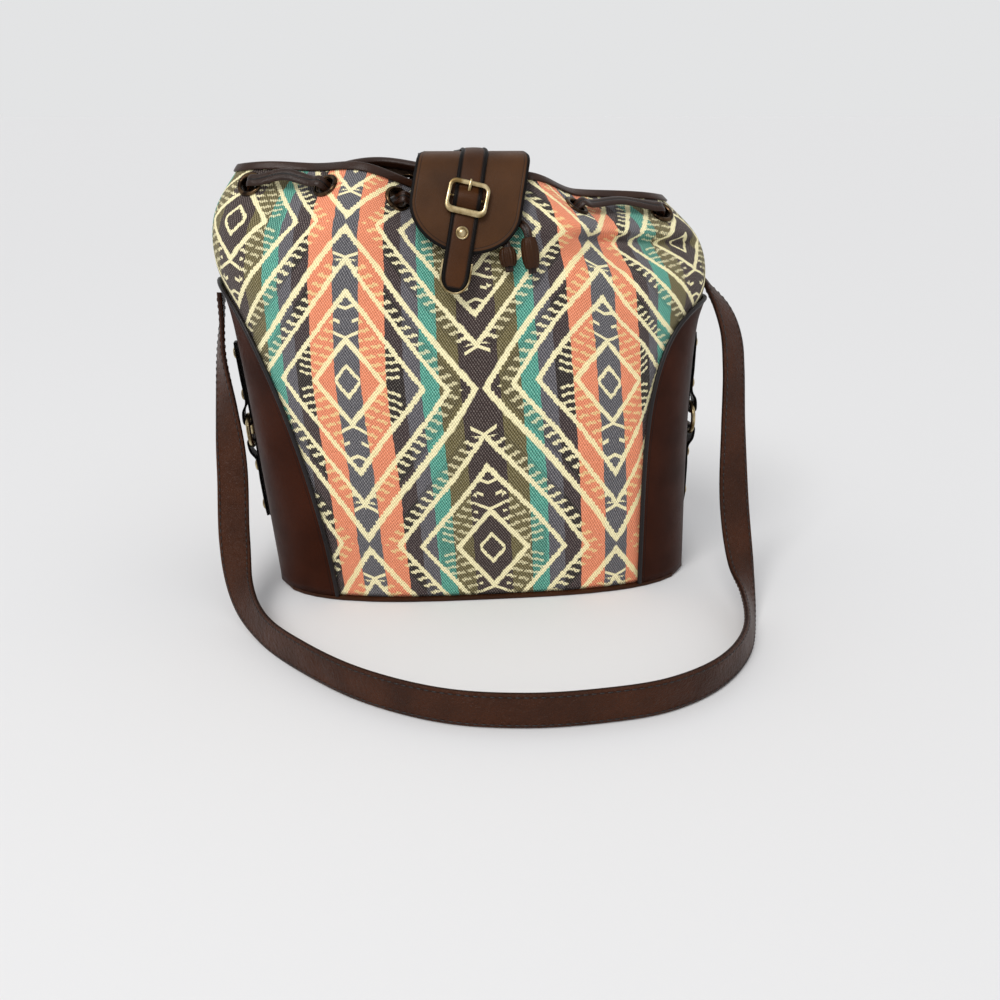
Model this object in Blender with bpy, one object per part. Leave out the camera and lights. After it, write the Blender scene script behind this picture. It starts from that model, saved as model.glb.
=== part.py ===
"""Drawstring bucket shoulder bag with leather side panels and a buckled flap.

The bag stands on its flat base at the world origin. +Z is up, the front with
the flap faces -Y, and the wearer's view of the front has +X on the right.
Every length is in metres.
"""
import math

import bmesh
import bpy
import numpy as np
from mathutils import Vector

MM = 0.001

# Fit between touching pieces, and layers of the wall counted from the canvas face
FIT = 0.3 * MM
CANVAS = 1.2 * MM
LINING = 0.8 * MM
CANVAS_BACK = -CANVAS
LINING_FACE = CANVAS_BACK - FIT
LINING_BACK = LINING_FACE - LINING

# Body: half width, half depth and sideways lean at a few heights
WALL_STATIONS = (
    (0 * MM, 132.5 * MM, 64 * MM, 0 * MM),
    (85 * MM, 136 * MM, 71 * MM, -5 * MM),
    (150 * MM, 140 * MM, 73.5 * MM, -8 * MM),
    (180 * MM, 143.5 * MM, 72.5 * MM, -9 * MM),
    (208 * MM, 150 * MM, 70 * MM, -10 * MM),
    (240 * MM, 142 * MM, 63 * MM, -12.5 * MM),
    (265 * MM, 120 * MM, 43 * MM, -16 * MM),
)
BASE_SQUARENESS = 3.0
RIM_SQUARENESS = 2.4

# Rim heights: the right shoulder has slumped, the corners and the back hang lower
RIM_HEIGHT = 265.5 * MM
RIM_SLUMP = 15 * MM
RIM_SLUMP_FROM = 15 * MM
RIM_SLUMP_TO = 70 * MM
CORNER_DROOP = 9 * MM
LEFT_LIFT = 4.5 * MM
BACK_DROP = 5 * MM
VALLEY_DIP = 5 * MM
MOUTH_DIP = 13 * MM
MOUTH_DIP_AT = -0.015
MOUTH_DIP_REACH = 0.075

# Gathers: the wall waves in and out between the eyelets, fading down the wall
GATHER_DEPTH = 8 * MM
GATHER_START = 0.70
GATHER_FADE = 1.5

# Fold that hangs over on the slumped right shoulder
FOLD_HEIGHT = 221 * MM
FOLD_DEPTH = 4.0 * MM
FOLD_REACH = 9 * MM
FOLD_FROM = 0.045
FOLD_TO = 0.20

# Eyelets, as shares of the way round from the middle of the front
EYELET_SPOTS = (
    -0.4583, -0.375, -0.2917, -0.205, -0.125, -0.060,
    0.043, 0.105, 0.197, 0.2917, 0.375, 0.4583,
)
EYELET_BELOW_RIM = 11.5 * MM
EYELET_BORE = 4.9 * MM
EYELET_FLANGE = 7.8 * MM
EYELET_BARREL = 0.7 * MM
EYELET_CROWN = 1.5 * MM
EYELET_LIP = 0.9 * MM
EYELET_SIDES = 10
PATCH = EYELET_FLANGE + 0.6 * MM

# Rows of the wall, as shares of its height, and the side seams
WALL_ROWS = (0.0, 0.22, 0.44, 0.63, 0.74, 0.80, 0.85)
SIDE_SEAM = 0.25
CORNER_GAPS = (0.08, 0.36)

# Base
BASE_THICK = 2.5 * MM
BASE_LEDGE = 3.0 * MM
BASE_ROUND = 0.8 * MM
BOARD_THICK = 2.0 * MM
WALL_FOOT = BASE_THICK + FIT
BOARD_FOOT = BASE_THICK + FIT
LINING_FOOT = BOARD_FOOT + BOARD_THICK + FIT

# Binding round the rim
BIND_THICK = 1.1 * MM
BIND_REACH = 0.988
BIND_ROOM = 0.6 * MM

# Side panels: an arch of leather sewn over the canvas
SIDE_PANEL_THICK = 1.4 * MM
SIDE_PANEL_SEAT = 1.4 * MM
SIDE_PANEL_TOP = 0.745
SIDE_PANEL_SPREAD = 0.107
SIDE_PANEL_COLUMNS = 14
SIDE_PANEL_ROWS = 9

# Leather tabs, rings and rivets on the side panels
TAB_WIDTH = 12 * MM
TAB_LENGTH = 46 * MM
RING_RADIUS = 9.8 * MM
RING_WIRE = 1.5 * MM
RING_CLEAR = 0.4 * MM
RING_HEIGHT = 97 * MM
LOOP_WALL = 1.4 * MM
RIVET_HEAD = 3.6 * MM
RIVET_DOME = 1.5 * MM
RIVET_SHANK = 1.4 * MM
RIVET_HOLE = RIVET_SHANK + FIT
RIVET_FROM_LOOP = 12 * MM
RIVET_FROM_END = 7 * MM
RIVET_SIDES = 10

# Flap
FLAP_THICK = 2.0 * MM
FLAP_HALF_WIDTH = 31.5 * MM
FLAP_CENTRE = -7.3 * MM
FLAP_LENGTH = 147 * MM
FLAP_ROUND = 26 * MM
FLAP_SKEW = math.radians(10.9)
FLAP_ROUTE = (
    (41.0 * MM, RIM_HEIGHT - 1.5 * MM),
    (20.0 * MM, RIM_HEIGHT - 0.9 * MM),
    (-20.0 * MM, RIM_HEIGHT - 0.1 * MM),
    (-42.0 * MM, RIM_HEIGHT - 0.3 * MM),
    (-53.0 * MM, RIM_HEIGHT - 3.5 * MM),
    (-60.5 * MM, RIM_HEIGHT - 11.5 * MM),
    (-65.5 * MM, RIM_HEIGHT - 22.5 * MM),
    (-70.1 * MM, RIM_HEIGHT - 36.5 * MM),
    (-73.6 * MM, RIM_HEIGHT - 50.5 * MM),
    (-77.0 * MM, RIM_HEIGHT - 67.5 * MM),
    (-79.5 * MM, RIM_HEIGHT - 81.5 * MM),
)
FLAP_CREASE = 86 * MM
# Rows that flap and strap share round the crease, as shares of its distance from the root
CREASE_STOPS = (0.18, 0.40, 0.70, 0.88, 0.98, 1.03, 1.08, 1.13, 1.20)

# Strap on the flap with its buckle
BELT_WIDTH = 15.5 * MM
BELT_THICK = 1.4 * MM
BELT_START = 8 * MM
BELT_TIP = 168.5 * MM
BELT_TIP_LENGTH = 10 * MM
TIP_TRIM_LENGTH = 17 * MM
BUCKLE_WIDTH = 23.5 * MM
BUCKLE_HEIGHT = 19.5 * MM
BUCKLE_BAR = 2.4 * MM
BUCKLE_DEEP = 1.8 * MM
BUCKLE_AT = 117 * MM
BUCKLE_CORNER = 4.6 * MM
STUD_AT = 136 * MM
STUD_RADIUS = 3.6 * MM
SNAP_RADIUS = 6.5 * MM
SNAP_THICK = 1.6 * MM
SNAP_BEVEL = 0.6 * MM
STUD_SHANK = 1.3 * MM

# Drawstring, a flat doubled leather lace, and its beads
LACE_WIDTH = 5.6 * MM
LACE_THICK = 2.4 * MM
LACE_TAIL_WIDTH = 3.6 * MM
LACE_OUT = 4.6 * MM
LACE_IN = -7.6 * MM
BEAD_RADIUS = 5.0 * MM
BEAD_BORE = LACE_TAIL_WIDTH / 2 + 1.0 * MM
BEAD_LEFT_LENGTH = 10.5 * MM
BEAD_RIGHT_LENGTH = 17 * MM

# Shoulder strap
STRAP_WIDTH = 19.5 * MM
STRAP_THICK = 3.0 * MM


# Materials
def make_material(name, colour, roughness, metallic=0.0):
    """Return a Principled material of one colour."""
    made = bpy.data.materials.new(name)
    made.use_nodes = True
    shader = made.node_tree.nodes["Principled BSDF"]
    shader.inputs["Base Color"].default_value = (*colour, 1.0)
    shader.inputs["Roughness"].default_value = roughness
    shader.inputs["Metallic"].default_value = metallic
    made.diffuse_color = (*colour, 1.0)
    return made


# Mesh tools
def add_object(name, points, faces, material, origin=(0, 0, 0), sharp=40):
    """Make an object from world points, with its own origin, faces turned out."""
    mesh = bpy.data.meshes.new(name)
    shifted = np.asarray(points, float) - np.asarray(origin, float)
    mesh.from_pydata(shifted.tolist(), [], [list(f) for f in faces])
    work = bmesh.new()
    work.from_mesh(mesh)
    bmesh.ops.recalc_face_normals(work, faces=work.faces)
    work.to_mesh(mesh)
    work.free()
    mesh.shade_smooth()
    mesh.set_sharp_from_angle(angle=math.radians(sharp))
    mesh.materials.append(material)
    made = bpy.data.objects.new(name, mesh)
    made.location = origin
    bpy.context.scene.collection.objects.link(made)
    return made


def add_empty(name, place):
    """Make an empty that carries the pieces of one moving body."""
    made = bpy.data.objects.new(name, None)
    made.location = place
    made.empty_display_size = 10 * MM
    bpy.context.scene.collection.objects.link(made)
    return made


def carry(parent, pieces):
    """Parent pieces to a carrier without moving them."""
    bpy.context.view_layer.update()
    for piece in pieces:
        piece.parent = parent
        piece.matrix_parent_inverse = parent.matrix_world.inverted()


def ring_faces(rings, sides, closed_path=False, cap_ends=True):
    """Faces of a skin over rings of points, each ring with so many sides."""
    faces = []
    last = rings if closed_path else rings - 1
    for r in range(last):
        a = r * sides
        b = ((r + 1) % rings) * sides
        for k in range(sides):
            j = (k + 1) % sides
            faces.append((a + k, a + j, b + j, b + k))
    if not closed_path and cap_ends:
        faces.append(tuple(range(sides))[::-1])
        faces.append(tuple((rings - 1) * sides + k for k in range(sides)))
    return faces


def sheet_faces(rows, columns, closed=False):
    """Faces of a sheet of two grids, outer then inner, with its edges closed."""
    faces = []
    skin = rows * columns

    def at(layer, r, c):
        return layer * skin + r * columns + c % columns

    span = columns if closed else columns - 1
    for r in range(rows - 1):
        for c in range(span):
            quad = (at(0, r, c), at(0, r, c + 1), at(0, r + 1, c + 1), at(0, r + 1, c))
            for corner in (quad[:3], (quad[0], quad[2], quad[3])):
                faces.append(corner)
                faces.append(tuple(k + skin for k in corner[::-1]))
    for c in range(span):
        faces.append((at(0, 0, c), at(1, 0, c), at(1, 0, c + 1), at(0, 0, c + 1)))
        top = rows - 1
        faces.append((at(0, top, c), at(0, top, c + 1), at(1, top, c + 1)))
        faces.append((at(0, top, c), at(1, top, c + 1), at(1, top, c)))
    if not closed:
        for r in range(rows - 1):
            end = columns - 1
            faces.append((at(0, r, 0), at(0, r + 1, 0), at(1, r + 1, 0), at(1, r, 0)))
            faces.append((at(0, r, end), at(1, r, end), at(1, r + 1, end), at(0, r + 1, end)))
    return faces


def smooth_route(points, step, fine=24):
    """Points at even steps along a smooth curve through the route's points."""
    route = np.asarray(points, float)
    ahead = 2 * route[0] - route[1]
    after = 2 * route[-1] - route[-2]
    full = np.vstack([ahead, route, after])
    knots = np.cumsum(np.r_[0, np.sqrt(np.linalg.norm(np.diff(full, axis=0), axis=1))])
    curve = [route[0]]
    for k in range(1, len(full) - 2):
        p0, p1, p2, p3 = full[k - 1:k + 3]
        t0, t1, t2, t3 = knots[k - 1:k + 3]
        for t in np.linspace(t1, t2, fine + 1)[1:]:
            a1 = (t1 - t) / (t1 - t0) * p0 + (t - t0) / (t1 - t0) * p1
            a2 = (t2 - t) / (t2 - t1) * p1 + (t - t1) / (t2 - t1) * p2
            a3 = (t3 - t) / (t3 - t2) * p2 + (t - t2) / (t3 - t2) * p3
            b1 = (t2 - t) / (t2 - t0) * a1 + (t - t0) / (t2 - t0) * a2
            b2 = (t3 - t) / (t3 - t1) * a2 + (t - t1) / (t3 - t1) * a3
            curve.append((t2 - t) / (t2 - t1) * b1 + (t - t1) / (t2 - t1) * b2)
    curve = np.array(curve)
    run = np.r_[0, np.cumsum(np.linalg.norm(np.diff(curve, axis=0), axis=1))]
    count = max(2, int(round(run[-1] / step)))
    marks = np.linspace(0, run[-1], count + 1)
    return np.stack([np.interp(marks, run, curve[:, k]) for k in range(curve.shape[1])], axis=1)


def sweep_flat(path, widths, width, thick, bevel):
    """Points of a flat strip with bevelled edges swept along a path.

    widths holds the direction across the strip at each point of the path, and
    width may be one length or one for each point.
    """
    along = np.gradient(path, axis=0)
    along /= np.linalg.norm(along, axis=1)[:, None]
    across = widths - (widths * along).sum(1)[:, None] * along
    across /= np.linalg.norm(across, axis=1)[:, None]
    face = np.cross(along, across)
    half = np.broadcast_to(np.asarray(width, float) / 2, len(path))
    rings = []
    for w, t in ((1, -1), (1, 1), (0, 2), (-1, 1), (-1, -1), (0, -2)):
        edge = half if w else np.zeros(len(path))
        rise = (thick / 2 - bevel) * t if w else thick / 2 * np.sign(t)
        rings.append(path + across * (w * edge)[:, None] + face * rise)
    return np.stack(rings, axis=1).reshape(-1, 3)


def turned(profile, sides, place, axis):
    """Points and faces of a turned piece with a bore or a solid core.

    profile lists (radius, height) round the section; a radius of 0 is a pole.
    """
    axis = Vector(axis).normalized()
    turn = Vector((0, 0, 1)).rotation_difference(axis).to_matrix()
    points = []
    rows = []
    for radius, height in profile:
        start = len(points)
        if radius <= 0:
            points.append(np.array(turn @ Vector((0, 0, height))) + place)
            rows.append([start])
            continue
        for k in range(sides):
            a = 2 * math.pi * (k + 0.5) / sides
            local = Vector((radius * math.cos(a), radius * math.sin(a), height))
            points.append(np.array(turn @ local) + place)
        rows.append(list(range(start, start + sides)))
    faces = []
    open_core = rows[0] and len(rows[0]) == 1
    pairs = list(zip(rows, rows[1:]))
    if not open_core:
        pairs.append((rows[-1], rows[0]))
    for low, high in pairs:
        for k in range(sides):
            j = (k + 1) % sides
            if len(low) == 1:
                faces.append((low[0], high[j], high[k]))
            elif len(high) == 1:
                faces.append((low[k], low[j], high[0]))
            else:
                faces.append((low[k], low[j], high[j], high[k]))
    return np.array(points), faces


# Bag wall
def smooth_through(xs, ys, x):
    """Value at x of a smooth curve through a few stations."""
    xs = np.asarray(xs, float)
    ys = np.asarray(ys, float)
    slope = np.gradient(ys, xs)
    x = np.clip(x, xs[0], xs[-1])
    k = np.clip(np.searchsorted(xs, x, side="right") - 1, 0, len(xs) - 2)
    h = xs[k + 1] - xs[k]
    q = (x - xs[k]) / h
    low = (1 + 2 * q) * (1 - q) ** 2 * ys[k] + q * (1 - q) ** 2 * h * slope[k]
    high = q * q * (3 - 2 * q) * ys[k + 1] + q * q * (q - 1) * h * slope[k + 1]
    return low + high


def ease(x, low, high):
    """Rise smoothly from 0 at low to 1 at high."""
    q = np.clip((x - low) / (high - low), 0, 1)
    return q * q * (3 - 2 * q)


_outlines = {}


def outline(share):
    """Rounded outline of the wall at a share of its height, with its run."""
    key = round(float(share), 6)
    if key not in _outlines:
        table = np.array(WALL_STATIONS)
        height = key * table[-1, 0]
        half_width = smooth_through(table[:, 0], table[:, 1], height)
        half_depth = smooth_through(table[:, 0], table[:, 2], height)
        lean = smooth_through(table[:, 0], table[:, 3], height)
        square = BASE_SQUARENESS + (RIM_SQUARENESS - BASE_SQUARENESS) * key
        turn = np.linspace(0, 2 * math.pi, 1441)
        sine, cosine = np.sin(turn), np.cos(turn)
        x = half_width * np.sign(sine) * np.abs(sine) ** (2 / square)
        y = -half_depth * np.sign(cosine) * np.abs(cosine) ** (2 / square)
        run = np.r_[0, np.cumsum(np.hypot(np.diff(x), np.diff(y)))]
        _outlines[key] = (x, y, run, lean)
    return _outlines[key]


def outline_point(way, share):
    """Point on the plain outline at a share of the way round."""
    x, y, run, lean = outline(share)
    mark = np.mod(way, 1.0) * run[-1]
    return np.interp(mark, run, x), np.interp(mark, run, y), lean


def wave_phase(way):
    """Phase of the gathers: a valley at the front, an eyelet at each crossing."""
    spots = np.array(EYELET_SPOTS)
    half = len(spots) / 2
    phase = (np.arange(len(spots)) - half + 0.5) * math.pi
    spots = np.r_[spots[-3:] - 1, spots, spots[:3] + 1]
    turn = 2 * half * math.pi
    phase = np.r_[phase[-3:] - turn, phase, phase[:3] + turn]
    wrapped = np.mod(np.asarray(way, float) + 0.5, 1.0) - 0.5
    return smooth_through(spots, phase, wrapped)


def rim_height(way):
    """Height of the rim, with its slump, droops and dips."""
    x, y, lean = outline_point(way, 1.0)
    half_width = WALL_STATIONS[-1][1]
    half_depth = WALL_STATIONS[-1][2]
    wrapped = np.mod(np.asarray(way, float) + 0.5, 1.0) - 0.5
    height = RIM_HEIGHT - RIM_SLUMP * ease(x, RIM_SLUMP_FROM, RIM_SLUMP_TO)
    height = height - CORNER_DROOP * (np.abs(x) / half_width) ** 6
    height = height + LEFT_LIFT * ease(-x, 0.55 * half_width, half_width)
    height = height - BACK_DROP * ease(y, -half_depth, half_depth)
    height = height - VALLEY_DIP * (1 + np.cos(wave_phase(way))) / 2
    return height - MOUTH_DIP * np.exp(-((wrapped - MOUTH_DIP_AT) / MOUTH_DIP_REACH) ** 2)


def wall_point(way, share):
    """Point of the canvas face at a share of the way round and of the height."""
    way = np.asarray(way, float)
    x, y, lean = outline_point(way, share)
    step = 1e-4
    x1, y1, _ = outline_point(way + step, share)
    x0, y0, _ = outline_point(way - step, share)
    length = np.hypot(x1 - x0, y1 - y0)
    out_x, out_y = (y1 - y0) / length, -(x1 - x0) / length
    z = WALL_FOOT + (rim_height(way) - WALL_FOOT) * share
    fade = max(0.0, (share - GATHER_START) / (1 - GATHER_START)) ** GATHER_FADE
    out = -GATHER_DEPTH * fade * np.cos(wave_phase(way))
    window = ease(way, FOLD_FROM, FOLD_FROM + 0.03) * (1 - ease(way, FOLD_TO, FOLD_TO + 0.03))
    above = np.exp(-((z - FOLD_HEIGHT - FOLD_REACH) / FOLD_REACH) ** 2)
    below = np.exp(-((z - FOLD_HEIGHT + FOLD_REACH) / FOLD_REACH) ** 2)
    out = out + FOLD_DEPTH * window * (above - 0.7 * below)
    return np.stack([x + out_x * out + lean, y + out_y * out, z], axis=-1)


def wall_frame(way, share):
    """Point, outward normal, and the directions round and up the wall."""
    step = 1e-3
    point = wall_point(way, share)
    round_ = wall_point(np.asarray(way) + step, share) - wall_point(np.asarray(way) - step, share)
    low, high = max(0.0, share - step), share + step
    up = wall_point(way, high) - wall_point(way, low)
    normal = np.cross(round_, up)
    normal /= np.linalg.norm(normal, axis=-1)[..., None]
    round_ = round_ / np.linalg.norm(round_, axis=-1)[..., None]
    return point, normal, round_, np.cross(normal, round_)


EYELET_SHARE = 1 - EYELET_BELOW_RIM / RIM_HEIGHT
PATCH_LOW = EYELET_SHARE - PATCH / RIM_HEIGHT
PATCH_HIGH = EYELET_SHARE + PATCH / RIM_HEIGHT
ROWS = WALL_ROWS + (PATCH_LOW, PATCH_HIGH, 1.0)
EYELET_FRAMES = [wall_frame(spot, EYELET_SHARE) for spot in EYELET_SPOTS]


def wall_columns():
    """Ways round of the wall's columns, with the eyelet patch each one edges."""
    ways = []
    run = outline(EYELET_SHARE)[2][-1]
    spots = list(EYELET_SPOTS)
    count = len(spots)
    for k, spot in enumerate(spots):
        ways.append((spot - PATCH / run, k, -1))
        ways.append((spot + PATCH / run, k, 1))
        after = spots[(k + 1) % count] + (1.0 if k == count - 1 else 0.0)
        low, high = spot + PATCH / run, after - PATCH / run
        middle = (low + high) / 2
        for seam in (-SIDE_SEAM, SIDE_SEAM):
            if low < seam < high:
                middle = seam
        ways.append((middle, None, 0))
        if CORNER_GAPS[0] < abs(middle) < CORNER_GAPS[1]:
            ways.append(((low + middle) / 2, None, 0))
            ways.append(((middle + high) / 2, None, 0))
    return sorted(ways)


def wall_grid(columns):
    """Grid of points and normals, flat round each eyelet."""
    ways = np.array([way for way, _, _ in columns])
    points = []
    normals = []
    for share in ROWS:
        point, normal, _, _ = wall_frame(ways, share)
        points.append(point)
        normals.append(normal)
    points, normals = np.array(points), np.array(normals)
    points[0, :, 2] = WALL_FOOT
    normals[0, :, 2] = 0
    normals[0] /= np.linalg.norm(normals[0], axis=1)[:, None]
    low, high = ROWS.index(PATCH_LOW), ROWS.index(PATCH_HIGH)
    for c, (_, eyelet, side) in enumerate(columns):
        if eyelet is None:
            continue
        centre, normal, round_, up = EYELET_FRAMES[eyelet]
        for row, sign in ((low, -1), (high, 1)):
            points[row, c] = centre + PATCH * (side * round_ + sign * up)
            normals[row, c] = normal
    return points, normals


def cut_round_holes(piece, frames, radius, depth, sides=EYELET_SIDES):
    """Cut a round hole through a piece at each frame with an exact Boolean."""
    for k, (centre, normal) in enumerate(frames):
        name = "cutter_%s_%d" % (piece.name, k)
        profile = ((0, -depth), (radius, -depth), (radius, depth), (0, depth))
        points, faces = turned(profile, sides, np.asarray(centre), normal)
        cutter = add_object(name, points, faces, piece.data.materials[0])
        cutter.hide_render = True
        cutter.display_type = "WIRE"
        cut = piece.modifiers.new("hole_%d" % k, "BOOLEAN")
        cut.operation = "DIFFERENCE"
        cut.solver = "EXACT"
        cut.object = cutter


def build_wall(columns, outer, inner, closed):
    """One layer of the wall between two depths, over the given columns."""
    points, normals = wall_grid(columns)
    count = len(columns)
    both = np.concatenate([points + normals * outer, points + normals * inner])
    faces = sheet_faces(len(ROWS), count, closed)
    both = both.reshape(2, len(ROWS), count, 3)
    return both, faces


def build_panels(canvas, columns):
    """Front and back canvas panels that meet at the side seams."""
    run = outline(0.5)[2][-1]
    back_off = FIT / 2 / run
    for name, start in (("front_panel", -SIDE_SEAM), ("back_panel", SIDE_SEAM)):
        end = start + 0.5
        chosen = []
        for way, eyelet, side in columns + [(w + 1, e, s) for w, e, s in columns]:
            if start - 1e-6 <= way <= end + 1e-6:
                way = min(max(way, start + back_off), end - back_off)
                chosen.append((way, eyelet, side))
        grid, faces = build_wall(chosen, 0.0, CANVAS_BACK, False)
        panel = add_object(name, grid.reshape(-1, 3), faces, canvas)
        frames = []
        for k, spot in enumerate(EYELET_SPOTS):
            if start < spot < end or start < spot + 1 < end:
                frames.append(EYELET_FRAMES[k][:2])
        cut_round_holes(panel, frames, EYELET_BORE + EYELET_BARREL + FIT, EYELET_FLANGE)


def build_lining(fabric, columns):
    """Lining: one pot with its own floor over the base board."""
    grid, faces = build_wall(columns, LINING_FACE, LINING_BACK, True)
    grid[0, 0, :, 2] = LINING_FOOT
    grid[1, 0, :, 2] = LINING_FOOT + LINING
    count = len(columns)
    skin = len(ROWS) * count
    faces = [f for f in faces if not is_foot_edge(f, count, skin)]
    faces.append(tuple(range(count))[::-1])
    faces.append(tuple(skin + k for k in range(count)))
    lining = add_object("lining", grid.reshape(-1, 3), faces, fabric)
    frames = [frame[:2] for frame in EYELET_FRAMES]
    cut_round_holes(lining, frames, EYELET_BORE + EYELET_BARREL + FIT, EYELET_FLANGE)
    return lining


def is_foot_edge(face, count, skin):
    """True for a face that joins the two skins along the lowest row."""
    return all(k % skin < count for k in face) and max(face) >= skin > min(face)


def build_binding(leather, columns):
    """Folded leather binding over the top edge of canvas and lining."""
    points, normals = wall_grid(columns)
    top, below = points[-1], points[-2]
    fall = below - top
    down = fall / np.linalg.norm(fall, axis=1)[:, None]
    leg = top + fall * BIND_REACH
    leg_normal = normals[-1] + (normals[-2] - normals[-1]) * BIND_REACH
    leg_normal /= np.linalg.norm(leg_normal, axis=1)[:, None]
    outer = FIT
    inner = LINING_BACK - FIT
    section = (
        (outer, 1), (outer + BIND_THICK, 1), (outer + BIND_THICK, 0), (outer, -1),
        (inner, -1), (inner - BIND_THICK, 0), (inner - BIND_THICK, 1), (inner, 1),
    )
    rings = []
    for depth, low in section:
        if low == 1:
            rings.append(leg + leg_normal * depth)
        elif low == 0:
            rings.append(top + normals[-1] * depth - down * BIND_ROOM)
        else:
            rings.append(top + normals[-1] * depth - down * (BIND_ROOM + BIND_THICK))
    for depth in (inner, outer):
        rings.append(top + normals[-1] * depth - down * BIND_ROOM)
    stack = np.stack(rings, axis=1).reshape(-1, 3)
    legs = (0, 1, 6, 7)
    sides = len(rings)
    faces = []
    for a, b, c, d in ring_faces(len(columns), sides, closed_path=True):
        if a % sides in legs and b % sides not in legs:
            faces += [(a, b, c), (a, c, d)]
        else:
            faces += [(a, b, d), (b, c, d)]
    return add_object("rim_binding", stack, faces, leather)


def plate(name, columns, outset, low, high, edge, material):
    """Flat plate on the bag's outline, with its lower edge rounded off."""
    ways = np.array([way for way, _, _ in columns])
    x, y, lean = outline_point(ways, 0.0)
    _, normal, _, _ = wall_frame(ways, 0.0)
    flat = normal[:, :2] / np.linalg.norm(normal[:, :2], axis=1)[:, None]
    base = np.stack([x + lean, y], axis=1)
    rings = []
    levels = [(outset, low), (outset, high)]
    if edge > 0:
        levels = [(outset - edge, low), (outset, low + edge), (outset, high)]
    for out, z in levels:
        ring = base + flat * out
        rings.append(np.column_stack([ring, np.full(len(ring), z)]))
    points = np.concatenate(rings)
    return add_object(name, points, ring_faces(len(rings), len(columns)), material)


def build_side_panel(name, side, leather):
    """Arch of leather laid over the canvas round one end of the bag."""
    rises = np.sin(np.linspace(0, math.pi / 2, SIDE_PANEL_ROWS))
    across = np.linspace(-1, 1, SIDE_PANEL_COLUMNS + 1)
    outer, inner = [], []
    for rise in rises:
        spread = max(SIDE_PANEL_SPREAD * math.sqrt(max(0, 1 - rise ** 2)), 0.006)
        ways = side * SIDE_SEAM + across * spread
        point, normal, _, _ = wall_frame(ways, rise * SIDE_PANEL_TOP)
        inner.append(point + normal * SIDE_PANEL_SEAT)
        outer.append(point + normal * (SIDE_PANEL_SEAT + SIDE_PANEL_THICK))
    grids = np.array([outer, inner])
    grids[:, 0, :, 2] = WALL_FOOT
    faces = sheet_faces(len(rises), len(across))
    return add_object(name, grids.reshape(-1, 3), faces, leather)


def side_place(side):
    """Origin, outward and upward directions of the flat line for one side's tabs."""
    outer = SIDE_PANEL_SEAT + SIDE_PANEL_THICK
    span = TAB_LENGTH + 1.6 * RING_RADIUS
    heights = np.linspace(RING_HEIGHT - span, RING_HEIGHT + span, 25)
    shares = (heights - WALL_FOOT) / (rim_height(side * SIDE_SEAM) - WALL_FOOT)
    line = []
    for share in shares:
        point, normal, _, _ = wall_frame(side * SIDE_SEAM, share)
        line.append(point + normal * outer)
    line = np.array(line)
    up = line[-1] - line[0]
    up[1] = 0
    up /= np.linalg.norm(up)
    out = np.array([side * up[2], 0, -side * up[0]])
    middle = line[len(line) // 2]
    reach = max(np.dot(p - middle, out) for p in line)
    return middle + out * (reach + FIT), out, up


def tab_path(direction):
    """Folded strip in its side plane: front layer, round the ring, back layer."""
    layer = LOOP_WALL / 2
    gap = FIT
    turn = RING_WIRE + RING_CLEAR + layer
    centre_out = turn + layer
    low = math.sqrt((RING_RADIUS - RING_WIRE) ** 2 - (TAB_WIDTH / 2) ** 2) - RING_CLEAR - layer
    bight = low + turn
    high = RING_RADIUS + RING_WIRE + RING_CLEAR
    front = 3 * layer + gap
    end = high + TAB_LENGTH
    path = [(end, front), (high + 22 * MM, front), (high + 7 * MM, front)]
    path.append((high + 1.5 * MM, centre_out + 0.75 * turn))
    for k in range(6):
        a = math.radians(90 + 36 * k)
        path.append((bight + turn * math.cos(a), centre_out + turn * math.sin(a)))
    path.append((high - 1 * MM, layer))
    path.append((high + 7 * MM, layer))
    path.append((high + 22 * MM, layer))
    path.append((end, layer))
    return [(u * direction, n) for u, n in path], front + layer, high, centre_out


def build_side_fittings(side, word, leather, brass, panel):
    """Two folded tabs, the ring between them and four rivets on one side."""
    origin, out, up = side_place(side)
    across = np.array([0.0, 1.0, 0.0])
    made = []
    holes = []
    for label, direction in (("upper", 1), ("lower", -1)):
        path, front, high, centre_out = tab_path(direction)
        spine = np.array([origin + up * u + out * n for u, n in path])
        widths = np.full(len(path), TAB_WIDTH)
        widths[0] = widths[-1] = TAB_WIDTH * 0.72
        points = strip_points(spine, np.tile(across, (len(path), 1)), widths, LOOP_WALL)
        faces = ring_faces(len(path), 4)
        tab = add_object("tab_%s_%s" % (word, label), points, faces, leather, sharp=50)
        frames = []
        for k, along in enumerate((RIVET_FROM_LOOP, TAB_LENGTH - RIVET_FROM_END)):
            spot = origin + up * direction * (high + along)
            frames.append((spot, out))
            depth = front + SIDE_PANEL_THICK + FIT
            profile = (
                (0, -depth), (RIVET_SHANK, -depth), (RIVET_SHANK, FIT),
                (RIVET_HEAD, FIT), (RIVET_HEAD * 0.8, FIT + RIVET_DOME * 0.7),
                (0, FIT + RIVET_DOME),
            )
            points, faces = turned(profile, RIVET_SIDES, spot + out * front, out)
            name = "rivet_%s_%s_%d" % (word, label, k + 1)
            made.append(add_object(name, points, faces, brass))
        cut_round_holes(tab, frames, RIVET_HOLE, 6 * MM, 8)
        holes += frames
        made.append(tab)
    cut_round_holes(panel, holes, RIVET_HOLE, 6 * MM, 8)
    centre = origin + out * centre_out
    section = []
    for k in range(6):
        a = 2 * math.pi * (k + 0.5) / 6
        section.append((RING_RADIUS + RING_WIRE * math.cos(a), RING_WIRE * math.sin(a)))
    points, faces = turned(section, 20, centre, out)
    ring = add_object("ring_" + word, points, faces, brass, origin=centre, sharp=80)
    return made


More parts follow.
